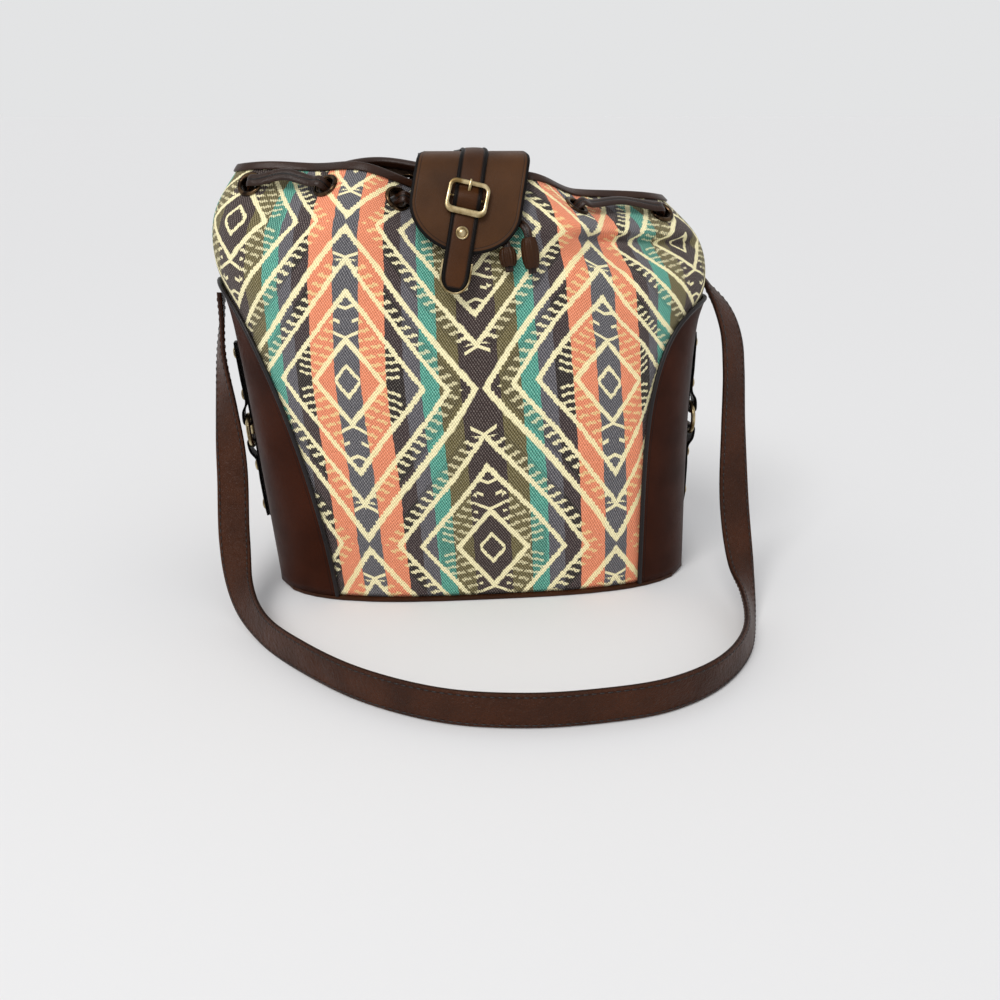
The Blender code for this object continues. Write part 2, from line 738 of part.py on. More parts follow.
def strip_points(path, widths, width, thick):
    """Points of a flat strip of square section swept along a path."""
    along = np.gradient(path, axis=0)
    along /= np.linalg.norm(along, axis=1)[:, None]
    across = widths - (widths * along).sum(1)[:, None] * along
    across /= np.linalg.norm(across, axis=1)[:, None]
    face = np.cross(along, across)
    half = np.broadcast_to(np.asarray(width, float) / 2, len(path))[:, None]
    rings = []
    for w, t in ((1, -1), (1, 1), (-1, 1), (-1, -1)):
        rings.append(path + across * half * w + face * (thick / 2 * t))
    return np.stack(rings, axis=1).reshape(-1, 3)


# Flap
_flap_line = smooth_route(FLAP_ROUTE, 1 * MM)
_flap_run = np.r_[0, np.cumsum(np.linalg.norm(np.diff(_flap_line, axis=0), axis=1))]


def flap_point(x, length, rise):
    """Point over the flap: across, along from its root, and above its middle layer."""
    x = np.asarray(x, float)
    length = np.asarray(length, float)
    turn = FLAP_SKEW * ease(length, FLAP_CREASE - 12 * MM, FLAP_CREASE + 6 * MM)
    past = length - FLAP_CREASE
    spread = x * np.cos(turn) - past * np.sin(turn)
    run = FLAP_CREASE + past * np.cos(turn) + x * np.sin(turn)
    y = np.interp(run, _flap_run, _flap_line[:, 0])
    z = np.interp(run, _flap_run, _flap_line[:, 1])
    step = 1 * MM
    dy = np.interp(run + step, _flap_run, _flap_line[:, 0])
    dy = dy - np.interp(run - step, _flap_run, _flap_line[:, 0])
    dz = np.interp(run + step, _flap_run, _flap_line[:, 1])
    dz = dz - np.interp(run - step, _flap_run, _flap_line[:, 1])
    size = np.hypot(dy, dz)
    return np.stack([FLAP_CENTRE + spread, y + dz / size * rise, z - dy / size * rise], axis=-1)


def flap_frame(x, length, rise):
    """Point, across, along and outward directions over the flap."""
    step = 0.5 * MM
    point = flap_point(x, length, rise)
    across = flap_point(x + step, length, rise) - flap_point(x - step, length, rise)
    along = flap_point(x, length + step, rise) - flap_point(x, length - step, rise)
    across /= np.linalg.norm(across)
    along -= np.dot(along, across) * across
    along /= np.linalg.norm(along)
    return point, across, along, np.cross(along, across)


def flap_half_width(length):
    """Half the flap's width, rounded off towards its lower end."""
    past = max(0.0, length - (FLAP_LENGTH - FLAP_ROUND)) / FLAP_ROUND
    return max(FLAP_HALF_WIDTH * math.sqrt(max(0.0, 1 - past ** 2)), BELT_WIDTH / 2)


def build_flap(leather):
    """Flap from its root behind the mouth, over it and down the front."""
    over = FLAP_CREASE * np.array(CREASE_STOPS)
    down = np.linspace(over[-1], FLAP_LENGTH - FLAP_ROUND, 3)[1:]
    bend = np.sin(np.linspace(0, math.pi / 2, 6))[1:]
    lengths = np.r_[0, over, down, FLAP_LENGTH - FLAP_ROUND + FLAP_ROUND * bend]
    under_belt = BELT_WIDTH / 2 / FLAP_HALF_WIDTH
    beside = (1 + under_belt) / 2
    share = np.array([-1, -beside, -under_belt, 0, under_belt, beside, 1])
    layers = []
    for rise in (FLAP_THICK / 2, -FLAP_THICK / 2):
        rows = [flap_point(share * flap_half_width(v), np.full(7, v), rise) for v in lengths]
        layers.append(rows)
    points = np.array(layers).reshape(-1, 3)
    return add_object("flap", points, sheet_faces(len(lengths), 7), leather)


BELT_RISE = FLAP_THICK / 2 + FIT + BELT_THICK / 2
FRAME_RISE = BELT_RISE + BELT_THICK / 2 + FIT
PIN_RADIUS = 0.7 * MM
PIN_RISE = FRAME_RISE
PRONG_THICK = 0.7 * MM
PRONG_WIDTH = 1.6 * MM
BELT_OVER = PIN_RISE + PIN_RADIUS + PRONG_THICK + 2 * FIT + BELT_THICK / 2


def build_belt(leather):
    """Strap down the middle of the flap, threaded through the buckle."""
    stops = [(BELT_START, BELT_RISE, 1)]
    stops += [(FLAP_CREASE * stop, BELT_RISE, 1) for stop in CREASE_STOPS]
    stops += [
        (BUCKLE_AT - 10 * MM, BELT_RISE, 1), (BUCKLE_AT - 6.6 * MM, BELT_RISE, 1),
        (BUCKLE_AT - 1.6 * MM, BELT_OVER, 1), (BUCKLE_AT + 1.6 * MM, BELT_OVER, 1),
        (BUCKLE_AT + 6.6 * MM, BELT_RISE, 1), (BUCKLE_AT + 10 * MM, BELT_RISE, 1),
        (STUD_AT, BELT_RISE, 1), (STUD_AT + 11 * MM, BELT_RISE, 1),
        (BELT_TIP - BELT_TIP_LENGTH, BELT_RISE, 1),
        (BELT_TIP - BELT_TIP_LENGTH * 0.5, BELT_RISE, 0.84),
        (BELT_TIP - BELT_TIP_LENGTH * 0.15, BELT_RISE, 0.45),
        (BELT_TIP, BELT_RISE, 0.16),
    ]
    rings = []
    for length, rise, share in stops:
        half = BELT_WIDTH / 2 * share
        for x, up in ((half, -0.5), (half, 0.5), (-half, 0.5), (-half, -0.5)):
            rings.append(flap_point(x, length, rise + up * BELT_THICK))
    return add_object("flap_belt", rings, ring_faces(len(stops), 4), leather, sharp=50)


def local_box(name, frame, size, shift, material):
    """Box in the frame of a spot on the flap; a guide for cutting."""
    point, across, along, out = frame
    points = []
    for z in (-1, 1):
        for x, y in ((-1, -1), (1, -1), (1, 1), (-1, 1)):
            local = np.array([x, y, z]) * np.array(size) / 2 + np.array(shift)
            points.append(point + across * local[0] + along * local[1] + out * local[2])
    faces = [(0, 1, 2, 3), (4, 5, 6, 7), (0, 1, 5, 4), (1, 2, 6, 5), (2, 3, 7, 6), (3, 0, 4, 7)]
    box = add_object(name, points, faces, material)
    box.hide_render = True
    box.display_type = "WIRE"
    return box


def boolean(piece, other, operation):
    """Add an exact Boolean modifier."""
    cut = piece.modifiers.new(other.name, "BOOLEAN")
    cut.operation = operation
    cut.solver = "EXACT"
    cut.object = other


def build_buckle(brass, belt):
    """Cast frame with a centre pin, and its curled prong."""
    frame = flap_frame(0.0, BUCKLE_AT, 0.0)
    point, across, along, out = frame
    rings = []
    loops = (
        (BUCKLE_WIDTH / 2, BUCKLE_HEIGHT / 2, BUCKLE_CORNER, FRAME_RISE),
        (BUCKLE_WIDTH / 2, BUCKLE_HEIGHT / 2, BUCKLE_CORNER, FRAME_RISE + BUCKLE_DEEP * 0.7),
        (BUCKLE_WIDTH / 2 - 0.6 * MM, BUCKLE_HEIGHT / 2 - 0.6 * MM,
         BUCKLE_CORNER - 0.6 * MM, FRAME_RISE + BUCKLE_DEEP),
        (BUCKLE_WIDTH / 2 - BUCKLE_BAR, BUCKLE_HEIGHT / 2 - BUCKLE_BAR,
         BUCKLE_CORNER - 2 * MM, FRAME_RISE + BUCKLE_DEEP),
        (BUCKLE_WIDTH / 2 - BUCKLE_BAR, BUCKLE_HEIGHT / 2 - BUCKLE_BAR,
         BUCKLE_CORNER - 2 * MM, FRAME_RISE),
    )
    for half_x, half_y, corner, rise in loops:
        loop = []
        for k in range(4):
            a0 = math.pi / 2 * k
            cx = (half_x - corner) * (1 if k in (0, 3) else -1)
            cy = (half_y - corner) * (1 if k in (0, 1) else -1)
            for j in range(4):
                a = a0 + math.pi / 2 * j / 3
                x, y = cx + corner * math.cos(a), cy + corner * math.sin(a)
                loop.append(point + across * x + along * y + out * rise)
        rings.append(loop)
    sides = len(rings[0])
    points = np.array(rings).reshape(-1, 3)
    faces = ring_faces(len(rings), sides, closed_path=True)
    buckle = add_object("buckle_frame", points, faces, brass)
    reach = BUCKLE_WIDTH / 2 - BUCKLE_BAR * 0.55
    profile = ((0, -reach), (PIN_RADIUS, -reach), (PIN_RADIUS, reach), (0, reach))
    points, faces = turned(profile, 8, point + out * PIN_RISE, across)
    pin = add_object("guide_buckle_pin", points, faces, brass)
    pin.hide_render = True
    pin.display_type = "WIRE"
    boolean(buckle, pin, "UNION")

    radius = PIN_RADIUS + FIT + PRONG_THICK / 2
    path = []
    for degree in (-160, -120, -75, -30, 15, 60, 95):
        a = math.radians(degree)
        path.append((radius * math.cos(a), PIN_RISE + radius * math.sin(a)))
    over = FRAME_RISE + BUCKLE_DEEP + FIT + PRONG_THICK / 2
    path.append((-3.0 * MM, PIN_RISE + radius))
    path.append((-BUCKLE_HEIGHT / 2 + BUCKLE_BAR + 0.4 * MM, over))
    path.append((-BUCKLE_HEIGHT / 2 + 0.6 * MM, over))
    path.append((-BUCKLE_HEIGHT / 2 - 0.6 * MM, over - 0.3 * MM))
    spine = np.array([point + along * v + out * h for v, h in path])
    widths = np.full(len(path), PRONG_WIDTH)
    points = strip_points(spine, np.tile(across, (len(path), 1)), widths, PRONG_THICK)
    prong = add_object("buckle_prong", points, ring_faces(len(path), 4), brass)

    slot = local_box("cutter_prong_slot", frame, (PRONG_WIDTH + 2 * FIT, 6.4 * MM, 12 * MM),
                     (0, -4.2 * MM, 4 * MM), brass)
    boolean(belt, slot, "DIFFERENCE")
    return buckle, prong


def build_snap(brass, flap, belt):
    """Stud with its cap on the strap, and the two discs of the magnetic snap."""
    point, across, along, out = flap_frame(0.0, STUD_AT, 0.0)
    cap = BELT_RISE + BELT_THICK / 2 + FIT
    under = -FLAP_THICK / 2 - FIT
    profile = (
        (0, under), (STUD_SHANK, under), (STUD_SHANK, cap), (STUD_RADIUS, cap),
        (STUD_RADIUS, cap + 0.7 * MM), (STUD_RADIUS * 0.62, cap + 0.9 * MM),
        (STUD_RADIUS * 0.5, cap + 1.5 * MM), (0, cap + 1.9 * MM),
    )
    points, faces = turned(profile, 12, point, out)
    stud = add_object("flap_stud", points, faces, brass)
    frames = [(point, out)]
    cut_round_holes(flap, frames, STUD_SHANK + FIT, 6 * MM)
    cut_round_holes(belt, frames, STUD_SHANK + FIT, 6 * MM)

    upper = under - FIT
    lower = upper - SNAP_THICK
    profile = (
        (0, upper), (SNAP_RADIUS, upper), (SNAP_RADIUS, lower + SNAP_BEVEL),
        (SNAP_RADIUS - SNAP_BEVEL, lower), (0, lower),
    )
    points, faces = turned(profile, 14, point, out)
    male = add_object("snap_upper", points, faces, brass)

    seat = 1.0
    for share in np.linspace(GATHER_START, 1.0, 61):
        spots = wall_point(np.linspace(-0.08, 0.08, 81), share)
        off = spots - point
        height = off @ out
        aside = np.linalg.norm(off - height[:, None] * out, axis=1)
        near = height[aside < SNAP_RADIUS]
        if len(near):
            seat = min(seat, -near.max())
    top = FIT - lower
    foot = seat - FIT
    profile = (
        (0, -foot), (SNAP_RADIUS, -foot), (SNAP_RADIUS, -top - SNAP_BEVEL),
        (SNAP_RADIUS - SNAP_BEVEL, -top), (0, -top),
    )
    points, faces = turned(profile, 14, point, out)
    add_object("snap_lower", points, faces, brass)
    return stud, male


def build_tip_trim(brass):
    """Thin metal edge round the end of the strap."""
    edge = BELT_WIDTH / 2
    corners = (
        (1.0, TIP_TRIM_LENGTH), (1.0, BELT_TIP_LENGTH),
        (0.84, BELT_TIP_LENGTH * 0.5), (0.45, BELT_TIP_LENGTH * 0.15),
    )
    side = [(edge * w, BELT_TIP - back) for w, back in corners]
    path = side + [(0, BELT_TIP + 0.6 * MM)] + [(-x, v) for x, v in side[::-1]]
    trim = 1.1 * MM
    rings = []
    flat = np.array(path)
    along = np.gradient(flat, axis=0)
    along /= np.linalg.norm(along, axis=1)[:, None]
    for (x, v), (ax, av) in zip(flat, along):
        px, pv = av, -ax
        if px * x + pv * (v - BELT_TIP + BELT_TIP_LENGTH) < 0:
            px, pv = -px, -pv
        for near, up in ((0, -1), (0, 1), (1, 1), (1, -1)):
            reach = FIT + near * trim
            rings.append(flap_point(x + px * reach, v + pv * reach, BELT_RISE + up * 0.9 * MM))
    return add_object("belt_tip_trim", rings, ring_faces(len(path), 4), brass)


def build_eyelets(brass):
    """Twelve rolled eyelets through canvas and lining."""
    back = LINING_BACK - FIT
    middle = (EYELET_BORE + EYELET_FLANGE) / 2
    barrel = EYELET_BORE + EYELET_BARREL
    profile = (
        (EYELET_FLANGE, FIT), (middle, FIT + EYELET_CROWN),
        (EYELET_BORE, FIT + EYELET_CROWN * 0.5), (EYELET_BORE, back - EYELET_LIP),
        (EYELET_FLANGE, back), (barrel, back), (barrel, FIT),
    )
    made = []
    for k, (centre, normal, _, _) in enumerate(EYELET_FRAMES):
        points, faces = turned(profile, EYELET_SIDES, centre, normal)
        made.append(add_object("eyelet_%02d" % (k + 1), points, faces, brass, sharp=60))
    return made


def eased_route(points, longest):
    """Points along a smooth curve through a route, keeping the route's own points."""
    kept = [np.asarray(points[0], float)]
    route = np.asarray(points, float)
    ends = np.vstack([2 * route[0] - route[1], route, 2 * route[-1] - route[-2]])
    knots = np.cumsum(np.r_[0, np.sqrt(np.linalg.norm(np.diff(ends, axis=0), axis=1))])
    for k in range(1, len(ends) - 2):
        p0, p1, p2, p3 = ends[k - 1:k + 3]
        t0, t1, t2, t3 = knots[k - 1:k + 3]
        pieces = max(1, int(math.ceil(np.linalg.norm(p2[:3] - p1[:3]) / longest)))
        for t in np.linspace(t1, t2, pieces + 1)[1:]:
            a1 = (t1 - t) / (t1 - t0) * p0 + (t - t0) / (t1 - t0) * p1
            a2 = (t2 - t) / (t2 - t1) * p1 + (t - t1) / (t2 - t1) * p2
            a3 = (t3 - t) / (t3 - t2) * p2 + (t - t2) / (t3 - t2) * p3
            b1 = (t2 - t) / (t2 - t0) * a1 + (t - t0) / (t2 - t0) * a2
            b2 = (t3 - t) / (t3 - t1) * a2 + (t - t1) / (t3 - t1) * a3
            kept.append((t2 - t) / (t2 - t1) * b1 + (t - t1) / (t2 - t1) * b2)
    return np.array(kept)


# Route of the lace's two tails, from the eyelet's outer side to the free end:
# way round and share of the height on the wall, distance out from it, slant of
# the lace's width from upright (0) to level (1), and share of the full width
TAIL_LEFT = (
    (-0.046, 0.957, 3.2 * MM, 0.0, 1.0), (-0.028, 0.962, 3.2 * MM, 0.0, 1.0),
    (-0.008, 0.962, 3.2 * MM, 0.0, 1.0), (0.009, 0.948, 3.2 * MM, 0.2, 0.9),
    (0.0215, 0.905, 2.9 * MM, 0.8, 0.64), (0.0278, 0.874, 4.2 * MM, 1.0, 0.64),
    (0.0284, 0.865, 5.2 * MM, 1.0, 0.64), (0.0280, 0.805, 6.0 * MM, 1.0, 0.64),
)
TAIL_RIGHT = (
    (0.0400, 0.925, 3.9 * MM, 0.6, 1.0), (0.0420, 0.902, 3.0 * MM, 1.0, 0.7),
    (0.0456, 0.888, 5.4 * MM, 1.0, 0.64), (0.0464, 0.878, 6.0 * MM, 1.0, 0.64),
    (0.0449, 0.793, 6.0 * MM, 1.0, 0.64),
)


def tail_rows(tail):
    """Places, directions across and widths along one tail of the lace."""
    rows = []
    for way, share, out, slant, width in tail:
        point, normal, round_, up = wall_frame(way, share)
        across = up * (1 - slant) + round_ * slant
        across /= np.linalg.norm(across)
        rows.append([*(point + normal * out), *(across * 0.01), width * 0.01])
    return rows


def lace_route():
    """Lace from its left end in and out of every eyelet to its right end."""
    order = list(range(len(EYELET_SPOTS) // 2 - 1, -1, -1))
    order += list(range(len(EYELET_SPOTS) - 1, len(EYELET_SPOTS) // 2 - 1, -1))
    rows = tail_rows(TAIL_LEFT)[::-1]
    inward = True
    for number, k in enumerate(order):
        centre, normal, round_, up = EYELET_FRAMES[k]
        steps = [
            (7.5 * MM, LACE_OUT), (2.0 * MM, 4.2 * MM), (0.0, -0.9 * MM),
            (-2.0 * MM, -6.0 * MM), (-7.5 * MM, LACE_IN),
        ]
        if not inward:
            steps = [(-a, d) for a, d in steps[::-1]]
        if number == 0:
            steps = [(4.5 * MM, 3.6 * MM)] + steps[1:]
        if number == len(order) - 1:
            steps = steps[:-2] + [(-0.9 * MM, 4.6 * MM)]
        for aside, depth in steps:
            place = centre + round_ * aside + normal * depth
            rows.append([*place, *(up * 0.01), 0.01])
        inward = not inward
    return rows + tail_rows(TAIL_RIGHT)


def build_lace(leather):
    """Drawstring: a flat doubled lace with narrowed tails."""
    path = eased_route(lace_route(), 12 * MM)
    widths = path[:, 6] / 0.01 * LACE_WIDTH
    points = sweep_flat(path[:, :3], path[:, 3:6], widths, LACE_THICK, 0.5 * MM)
    return add_object("drawstring", points, ring_faces(len(path), 6), leather, sharp=60)


def build_bead(name, tail, length, material):
    """Barrel bead threaded on one tail."""
    rows = tail_rows(tail)
    upper = np.array(rows[-2][:3])
    lower = np.array(rows[-1][:3])
    axis = (upper - lower) / np.linalg.norm(upper - lower)
    half = length / 2
    profile = (
        (BEAD_BORE, half), (BEAD_RADIUS * 0.72, half), (BEAD_RADIUS, half * 0.4),
        (BEAD_RADIUS, -half * 0.4), (BEAD_RADIUS * 0.72, -half), (BEAD_BORE, -half),
    )
    points, faces = turned(profile, 12, (upper + lower) / 2, axis)
    return add_object(name, points, faces, material)


# Route of the shoulder strap from the left side seam, down to the surface that
# the bag stands on, round in front and up to the right side seam: place, and
# the direction across the strap towards its inner edge
STRAP_ROUTE = (
    (-160.7, 0, 184, 0, -1, 0), (-160.9, -3, 170, 0.1, -1, 0), (-162.2, -10, 148, 0.3, -1, 0),
    (-160.5, -19, 116, 0.75, -0.75, 0), (-158, -34, 80, 1, -0.2, 0),
    (-157.5, -52, 42, 1, -0.1, 0.15), (-152, -78, 18.5, 0.8, -0.2, 0.8),
    (-137, -113, 10.05, 0.15, 0, 1), (-109, -155, 10.05, 0, 0, 1),
    (-77, -188, 10.05, 0, 0, 1), (-37, -212, 10.05, 0, 0, 1), (2, -220.5, 10.05, 0, 0, 1),
    (38, -220, 10.05, 0, 0, 1), (75, -213, 10.05, 0, 0, 1), (108, -193, 10.05, 0, 0, 1),
    (134, -159, 10.05, -0.15, 0, 1), (148, -118, 13.5, -0.5, 0, 1),
    (151.5, -90, 26, -0.85, 0, 0.5), (152.5, -66, 58, -1, 0, 0.1),
    (153, -50, 104, -1, -0.2, 0), (154, -38, 138, -0.7, -0.7, 0),
    (152.5, -24, 158, -0.3, -1, 0), (149, -10, 173, -0.1, -1, 0), (145, 0, 186, 0, -1, 0),
)


def build_strap(leather):
    """Shoulder strap, standing on its edge where it lies in front."""
    rows = []
    for x, y, z, wx, wy, wz in STRAP_ROUTE:
        size = math.sqrt(wx * wx + wy * wy + wz * wz)
        rows.append([x * MM, y * MM, z * MM, wx / size * 0.01, wy / size * 0.01, wz / size * 0.01])
    path = smooth_route(rows, 15 * MM)
    points = strip_points(path[:, :3], path[:, 3:6], STRAP_WIDTH, STRAP_THICK)
    low = points[:, 2] < FIT
    points[low, 2] = FIT
    return add_object("shoulder_strap", points, ring_faces(len(path), 4), leather)


def main():
    """Build the whole bag."""
    for old in list(bpy.data.objects):
        bpy.data.objects.remove(old, do_unlink=True)

    canvas = make_material("printed_canvas", (0.62, 0.42, 0.27), 0.85)
    fabric = make_material("lining_fabric", (0.09, 0.06, 0.045), 0.8)
    tan = make_material("side_leather", (0.072, 0.026, 0.012), 0.5)
    dark = make_material("flap_leather", (0.060, 0.026, 0.016), 0.48)
    strap_leather = make_material("strap_leather", (0.057, 0.018, 0.012), 0.5)
    board = make_material("base_board", (0.35, 0.28, 0.2), 0.9)
    brass = make_material("antique_brass", (0.55, 0.38, 0.15), 0.32, 1.0)
    bead = make_material("bead", (0.07, 0.03, 0.018), 0.45)

    columns = wall_columns()
    build_panels(canvas, columns)
    build_lining(fabric, columns)
    build_binding(dark, columns)
    plate("base_panel", columns, BASE_LEDGE, 0.0, BASE_THICK, BASE_ROUND, tan)
    plate("base_board", columns, LINING_FACE, BOARD_FOOT, BOARD_FOOT + BOARD_THICK, 0.0, board)
    build_eyelets(brass)

    for side, word in ((-1, "left"), (1, "right")):
        panel = build_side_panel("side_panel_" + word, side, tan)
        build_side_fittings(side, word, dark, brass, panel)

    flap = build_flap(dark)
    belt = build_belt(dark)
    buckle, prong = build_buckle(brass, belt)
    stud, male = build_snap(brass, flap, belt)
    trim = build_tip_trim(brass)
    hinge = flap_point(0.0, 0.0, 0.0)
    flap_pivot = add_empty("flap_pivot", hinge)
    carry(flap_pivot, [flap, belt, buckle, prong, stud, male, trim])

    build_lace(dark)
    build_bead("bead_left", TAIL_LEFT, BEAD_LEFT_LENGTH, bead)
    build_bead("bead_right", TAIL_RIGHT, BEAD_RIGHT_LENGTH, bead)
    build_strap(strap_leather)


main()
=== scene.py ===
# %% [markdown]
# # A drawstring bucket bag in printed canvas
# The bag is gathered at its mouth by a flat lace that runs through twelve
# eyelets. A buckled leather flap closes it, leather panels cover its two ends,
# and one long strap lies on the table in front of it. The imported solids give
# every size and place. This lesson dresses each of them with cloth, leather
# and metal, worked out as surfaces in numpy.

# %% Open the frame
import functools
import math
import bpy
import numpy as np
from mathutils import Matrix


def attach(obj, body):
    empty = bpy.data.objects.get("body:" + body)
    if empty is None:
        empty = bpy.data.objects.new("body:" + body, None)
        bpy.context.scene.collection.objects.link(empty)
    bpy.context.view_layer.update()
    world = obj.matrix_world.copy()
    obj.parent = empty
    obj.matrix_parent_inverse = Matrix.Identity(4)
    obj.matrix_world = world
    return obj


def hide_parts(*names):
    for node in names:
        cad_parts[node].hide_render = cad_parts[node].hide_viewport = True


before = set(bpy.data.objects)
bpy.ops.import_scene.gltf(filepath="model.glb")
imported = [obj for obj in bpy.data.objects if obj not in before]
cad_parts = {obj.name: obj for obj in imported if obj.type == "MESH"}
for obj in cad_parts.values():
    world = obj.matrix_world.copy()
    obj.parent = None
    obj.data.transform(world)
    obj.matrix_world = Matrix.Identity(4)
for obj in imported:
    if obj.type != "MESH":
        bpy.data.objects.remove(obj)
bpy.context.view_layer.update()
MM = 0.001


# %% [markdown]
# ## Camera, light and floor
# The camera stands in front of the bag, a little left of the middle,
# about 70 cm away and 29 cm up, looking down by about 20 degrees. A wide sun and
# an even white world give the soft shadow of a light tent, and one small lamp
# puts a glint on metal and leather. The camera sees a paler world than the one
# that lights, so that the background does not wash the colours out.

# %% Directions and frames
def unit(v):
    """Vectors scaled to length one."""
    return v / np.maximum(np.linalg.norm(v, axis=-1, keepdims=True), 1e-12)


def placed(name, data, columns):
    """Object with x, y, z directions and a place, given as the columns of its matrix."""
    made = bpy.data.objects.new(name, data)
    scene.collection.objects.link(made)
    matrix = np.eye(4)
    matrix[:3] = np.stack(columns, axis=1)
    made.matrix_world = Matrix(matrix.tolist())
    return made


# %% Camera
scene = bpy.context.scene
scene.view_settings.view_transform = "Standard"
eye = np.array([-0.061, -0.695, 0.290])
look = np.array([0.0985, 0.9374, -0.3338])
camera = bpy.data.cameras.new("camera")
camera.lens = 39.6
camera.sensor_width = 36.0
aside = unit(np.cross(look, [0, 0, 1]))
scene.camera = placed("camera", camera, (aside, np.cross(aside, look), -look, eye))
print("camera tilt:", round(math.degrees(math.asin(-look[2])), 1), "degrees down")


# %% Node trees in few words
class Graph:
    """Node tree of a material or world, with short words for its nodes."""

    def __init__(self, owner):
        owner.use_nodes = True
        self.owner, self.tree = owner, owner.node_tree
        self.tree.nodes.clear()

    def feed(self, slot, value):
        """Link a socket to an input, or set it to a number or a colour."""
        if isinstance(value, bpy.types.NodeSocket):
            self.tree.links.new(value, slot)
        else:
            slot.default_value = (*value, 1) if isinstance(value, tuple) else value

    def node(self, kind, inputs=(), **settings):
        """Node with its settings, and with inputs by name or number."""
        made = self.tree.nodes.new("ShaderNode" + kind)
        for key, value in settings.items():
            setattr(made, key, value)
        for key, value in dict(inputs).items():
            self.feed(made.inputs[key], value)
        return made

    def calc(self, operation, *values, clamp=False):
        """Result of a Math node on sockets or numbers."""
        return self.node("Math", enumerate(values), operation=operation, use_clamp=clamp).outputs[0]

    def words(self, *operations):
        """One short function for each operation."""
        return [functools.partial(self.calc, operation) for operation in operations]

    def mix(self, factor, low, high, how="MIX"):
        """Two colours mixed by a factor; each is a socket or a value."""
        return self.node("Mix", {0: factor, 6: low, 7: high}, data_type="RGBA",
                         blend_type=how).outputs[2]

    def noise(self, place, scale, detail=2.0, distortion=0.0):
        """Noise between 0 and 1 at a place."""
        return self.node("TexNoise", {"Vector": place, "Scale": scale, "Detail": detail,
                                      "Distortion": distortion}).outputs["Fac"]

    def surface(self, inputs, height=None, strength=0.0, metres=0.0):
        """Principled shader at the output, with a bump if there is a height."""
        if height is not None:
            relief = {"Height": height, "Strength": strength, "Distance": metres}
            inputs = dict(inputs, Normal=self.node("Bump", relief).outputs[0])
        self.node("OutputMaterial", {0: self.node("BsdfPrincipled", inputs).outputs[0]})
        return self.owner


# %% Floor and world
def pale_world(strength):
    """World that lights evenly and shows as near white behind the bag."""
    graph = Graph(bpy.data.worlds.new("studio"))
    path = graph.node("LightPath").outputs
    either = graph.calc("MAXIMUM", path["Is Camera Ray"], path["Is Transmission Ray"])
    soft = graph.node("Background", {"Color": (0.98, 0.99, 1.0), "Strength": strength})
    seen = graph.node("Background", {"Color": (0.769, 0.774, 0.780)})
    mix = graph.node("MixShader", {0: either, 1: soft.outputs[0], 2: seen.outputs[0]})
    graph.node("OutputWorld", {0: mix.outputs[0]})
    scene.world = graph.owner


def stage_floor(half, colour):
    """Flat square at height 0, the table top that the bag stands on."""
    mesh = bpy.data.meshes.new("floor")
    corners = [(-half, -half, 0), (half, -half, 0), (half, half, 0), (-half, half, 0)]
    mesh.from_pydata(corners, [], [(0, 1, 2, 3)])
    floor = bpy.data.objects.new("floor", mesh)
    scene.collection.objects.link(floor)
    graph = Graph(bpy.data.materials.new("floor"))
    mesh.materials.append(graph.surface({"Base Color": colour, "Roughness": 0.9,
                                         "Specular IOR Level": 0.1}))


pale_world(0.70)
stage_floor(60.0, (0.78, 0.78, 0.79))


# %% Soft lights
def aimed(light, place, target):
    """Lamp at place, turned so that its beam (its -z) meets target."""
    place = np.array(place, float)
    back = unit(place - target)
    side = unit(np.cross([0, 0, 1], back))
    placed(light.name, light, (side, np.cross(back, side), back, place))


sun = bpy.data.lights.new("window", "SUN")
sun.energy = 1.3
sun.angle = math.radians(28)
sun.color = (1.0, 0.98, 0.95)
aimed(sun, (-0.5, -0.9, 1.25), (0, 0, 0.1))
glint = bpy.data.lights.new("glint", "AREA")
glint.size = 0.25
glint.energy = 1.6
aimed(glint, (-0.45, -0.75, 0.95), (0, 0, 0.2))


# %% [markdown]
# ## The shape of the bag's wall
# Everything on the bag hangs on one surface: the canvas wall. It is a rounded
# outline that changes size up the bag, with gathers near the mouth where the
# lace draws it in. One function gives the wall's point for any way round
# (0 is the middle of the front, 0.25 the right end) and any share of the
# height. Canvas, lining, binding and panels all use it, so they nest.

# %% The wall's sizes
STATIONS = np.array([
    # height, half width, half depth, lean to the side
    (0, 132.5, 64, 0), (85, 136, 71, -5), (150, 140, 73.5, -8), (180, 143.5, 72.5, -9),
    (208, 150, 70, -10), (240, 142, 63, -12.5), (265, 120, 43, -16),
]) * MM
RIM = 265.5 * MM
FOOT = 2.8 * MM
SPOTS = np.array([
    -0.4583, -0.375, -0.2917, -0.205, -0.125, -0.060,
    0.043, 0.105, 0.197, 0.2917, 0.375, 0.4583,
])


def ease(x, low, high):
    """0 below low, 1 above high, and a cubic s-curve between."""
    q = np.clip((x - low) / (high - low), 0, 1)
    return q * q * (3 - 2 * q)


def smooth_through(xs, ys, x):
    """Cubic Hermite curve through (xs, ys), with slopes from the neighbours."""
    slope = np.gradient(ys, xs)
    x = np.clip(x, xs[0], xs[-1])
    k = np.clip(np.searchsorted(xs, x, side="right") - 1, 0, len(xs) - 2)
    h = xs[k + 1] - xs[k]
    q = (x - xs[k]) / h
    low = (1 + 2 * q) * (1 - q) ** 2 * ys[k] + q * (1 - q) ** 2 * h * slope[k]
    return low + q * q * (3 - 2 * q) * ys[k + 1] + q * q * (q - 1) * h * slope[k + 1]


def powered(v, power):
    """Signed power, which squares off the sine and cosine of a circle."""
    return np.sign(v) * np.abs(v) ** power


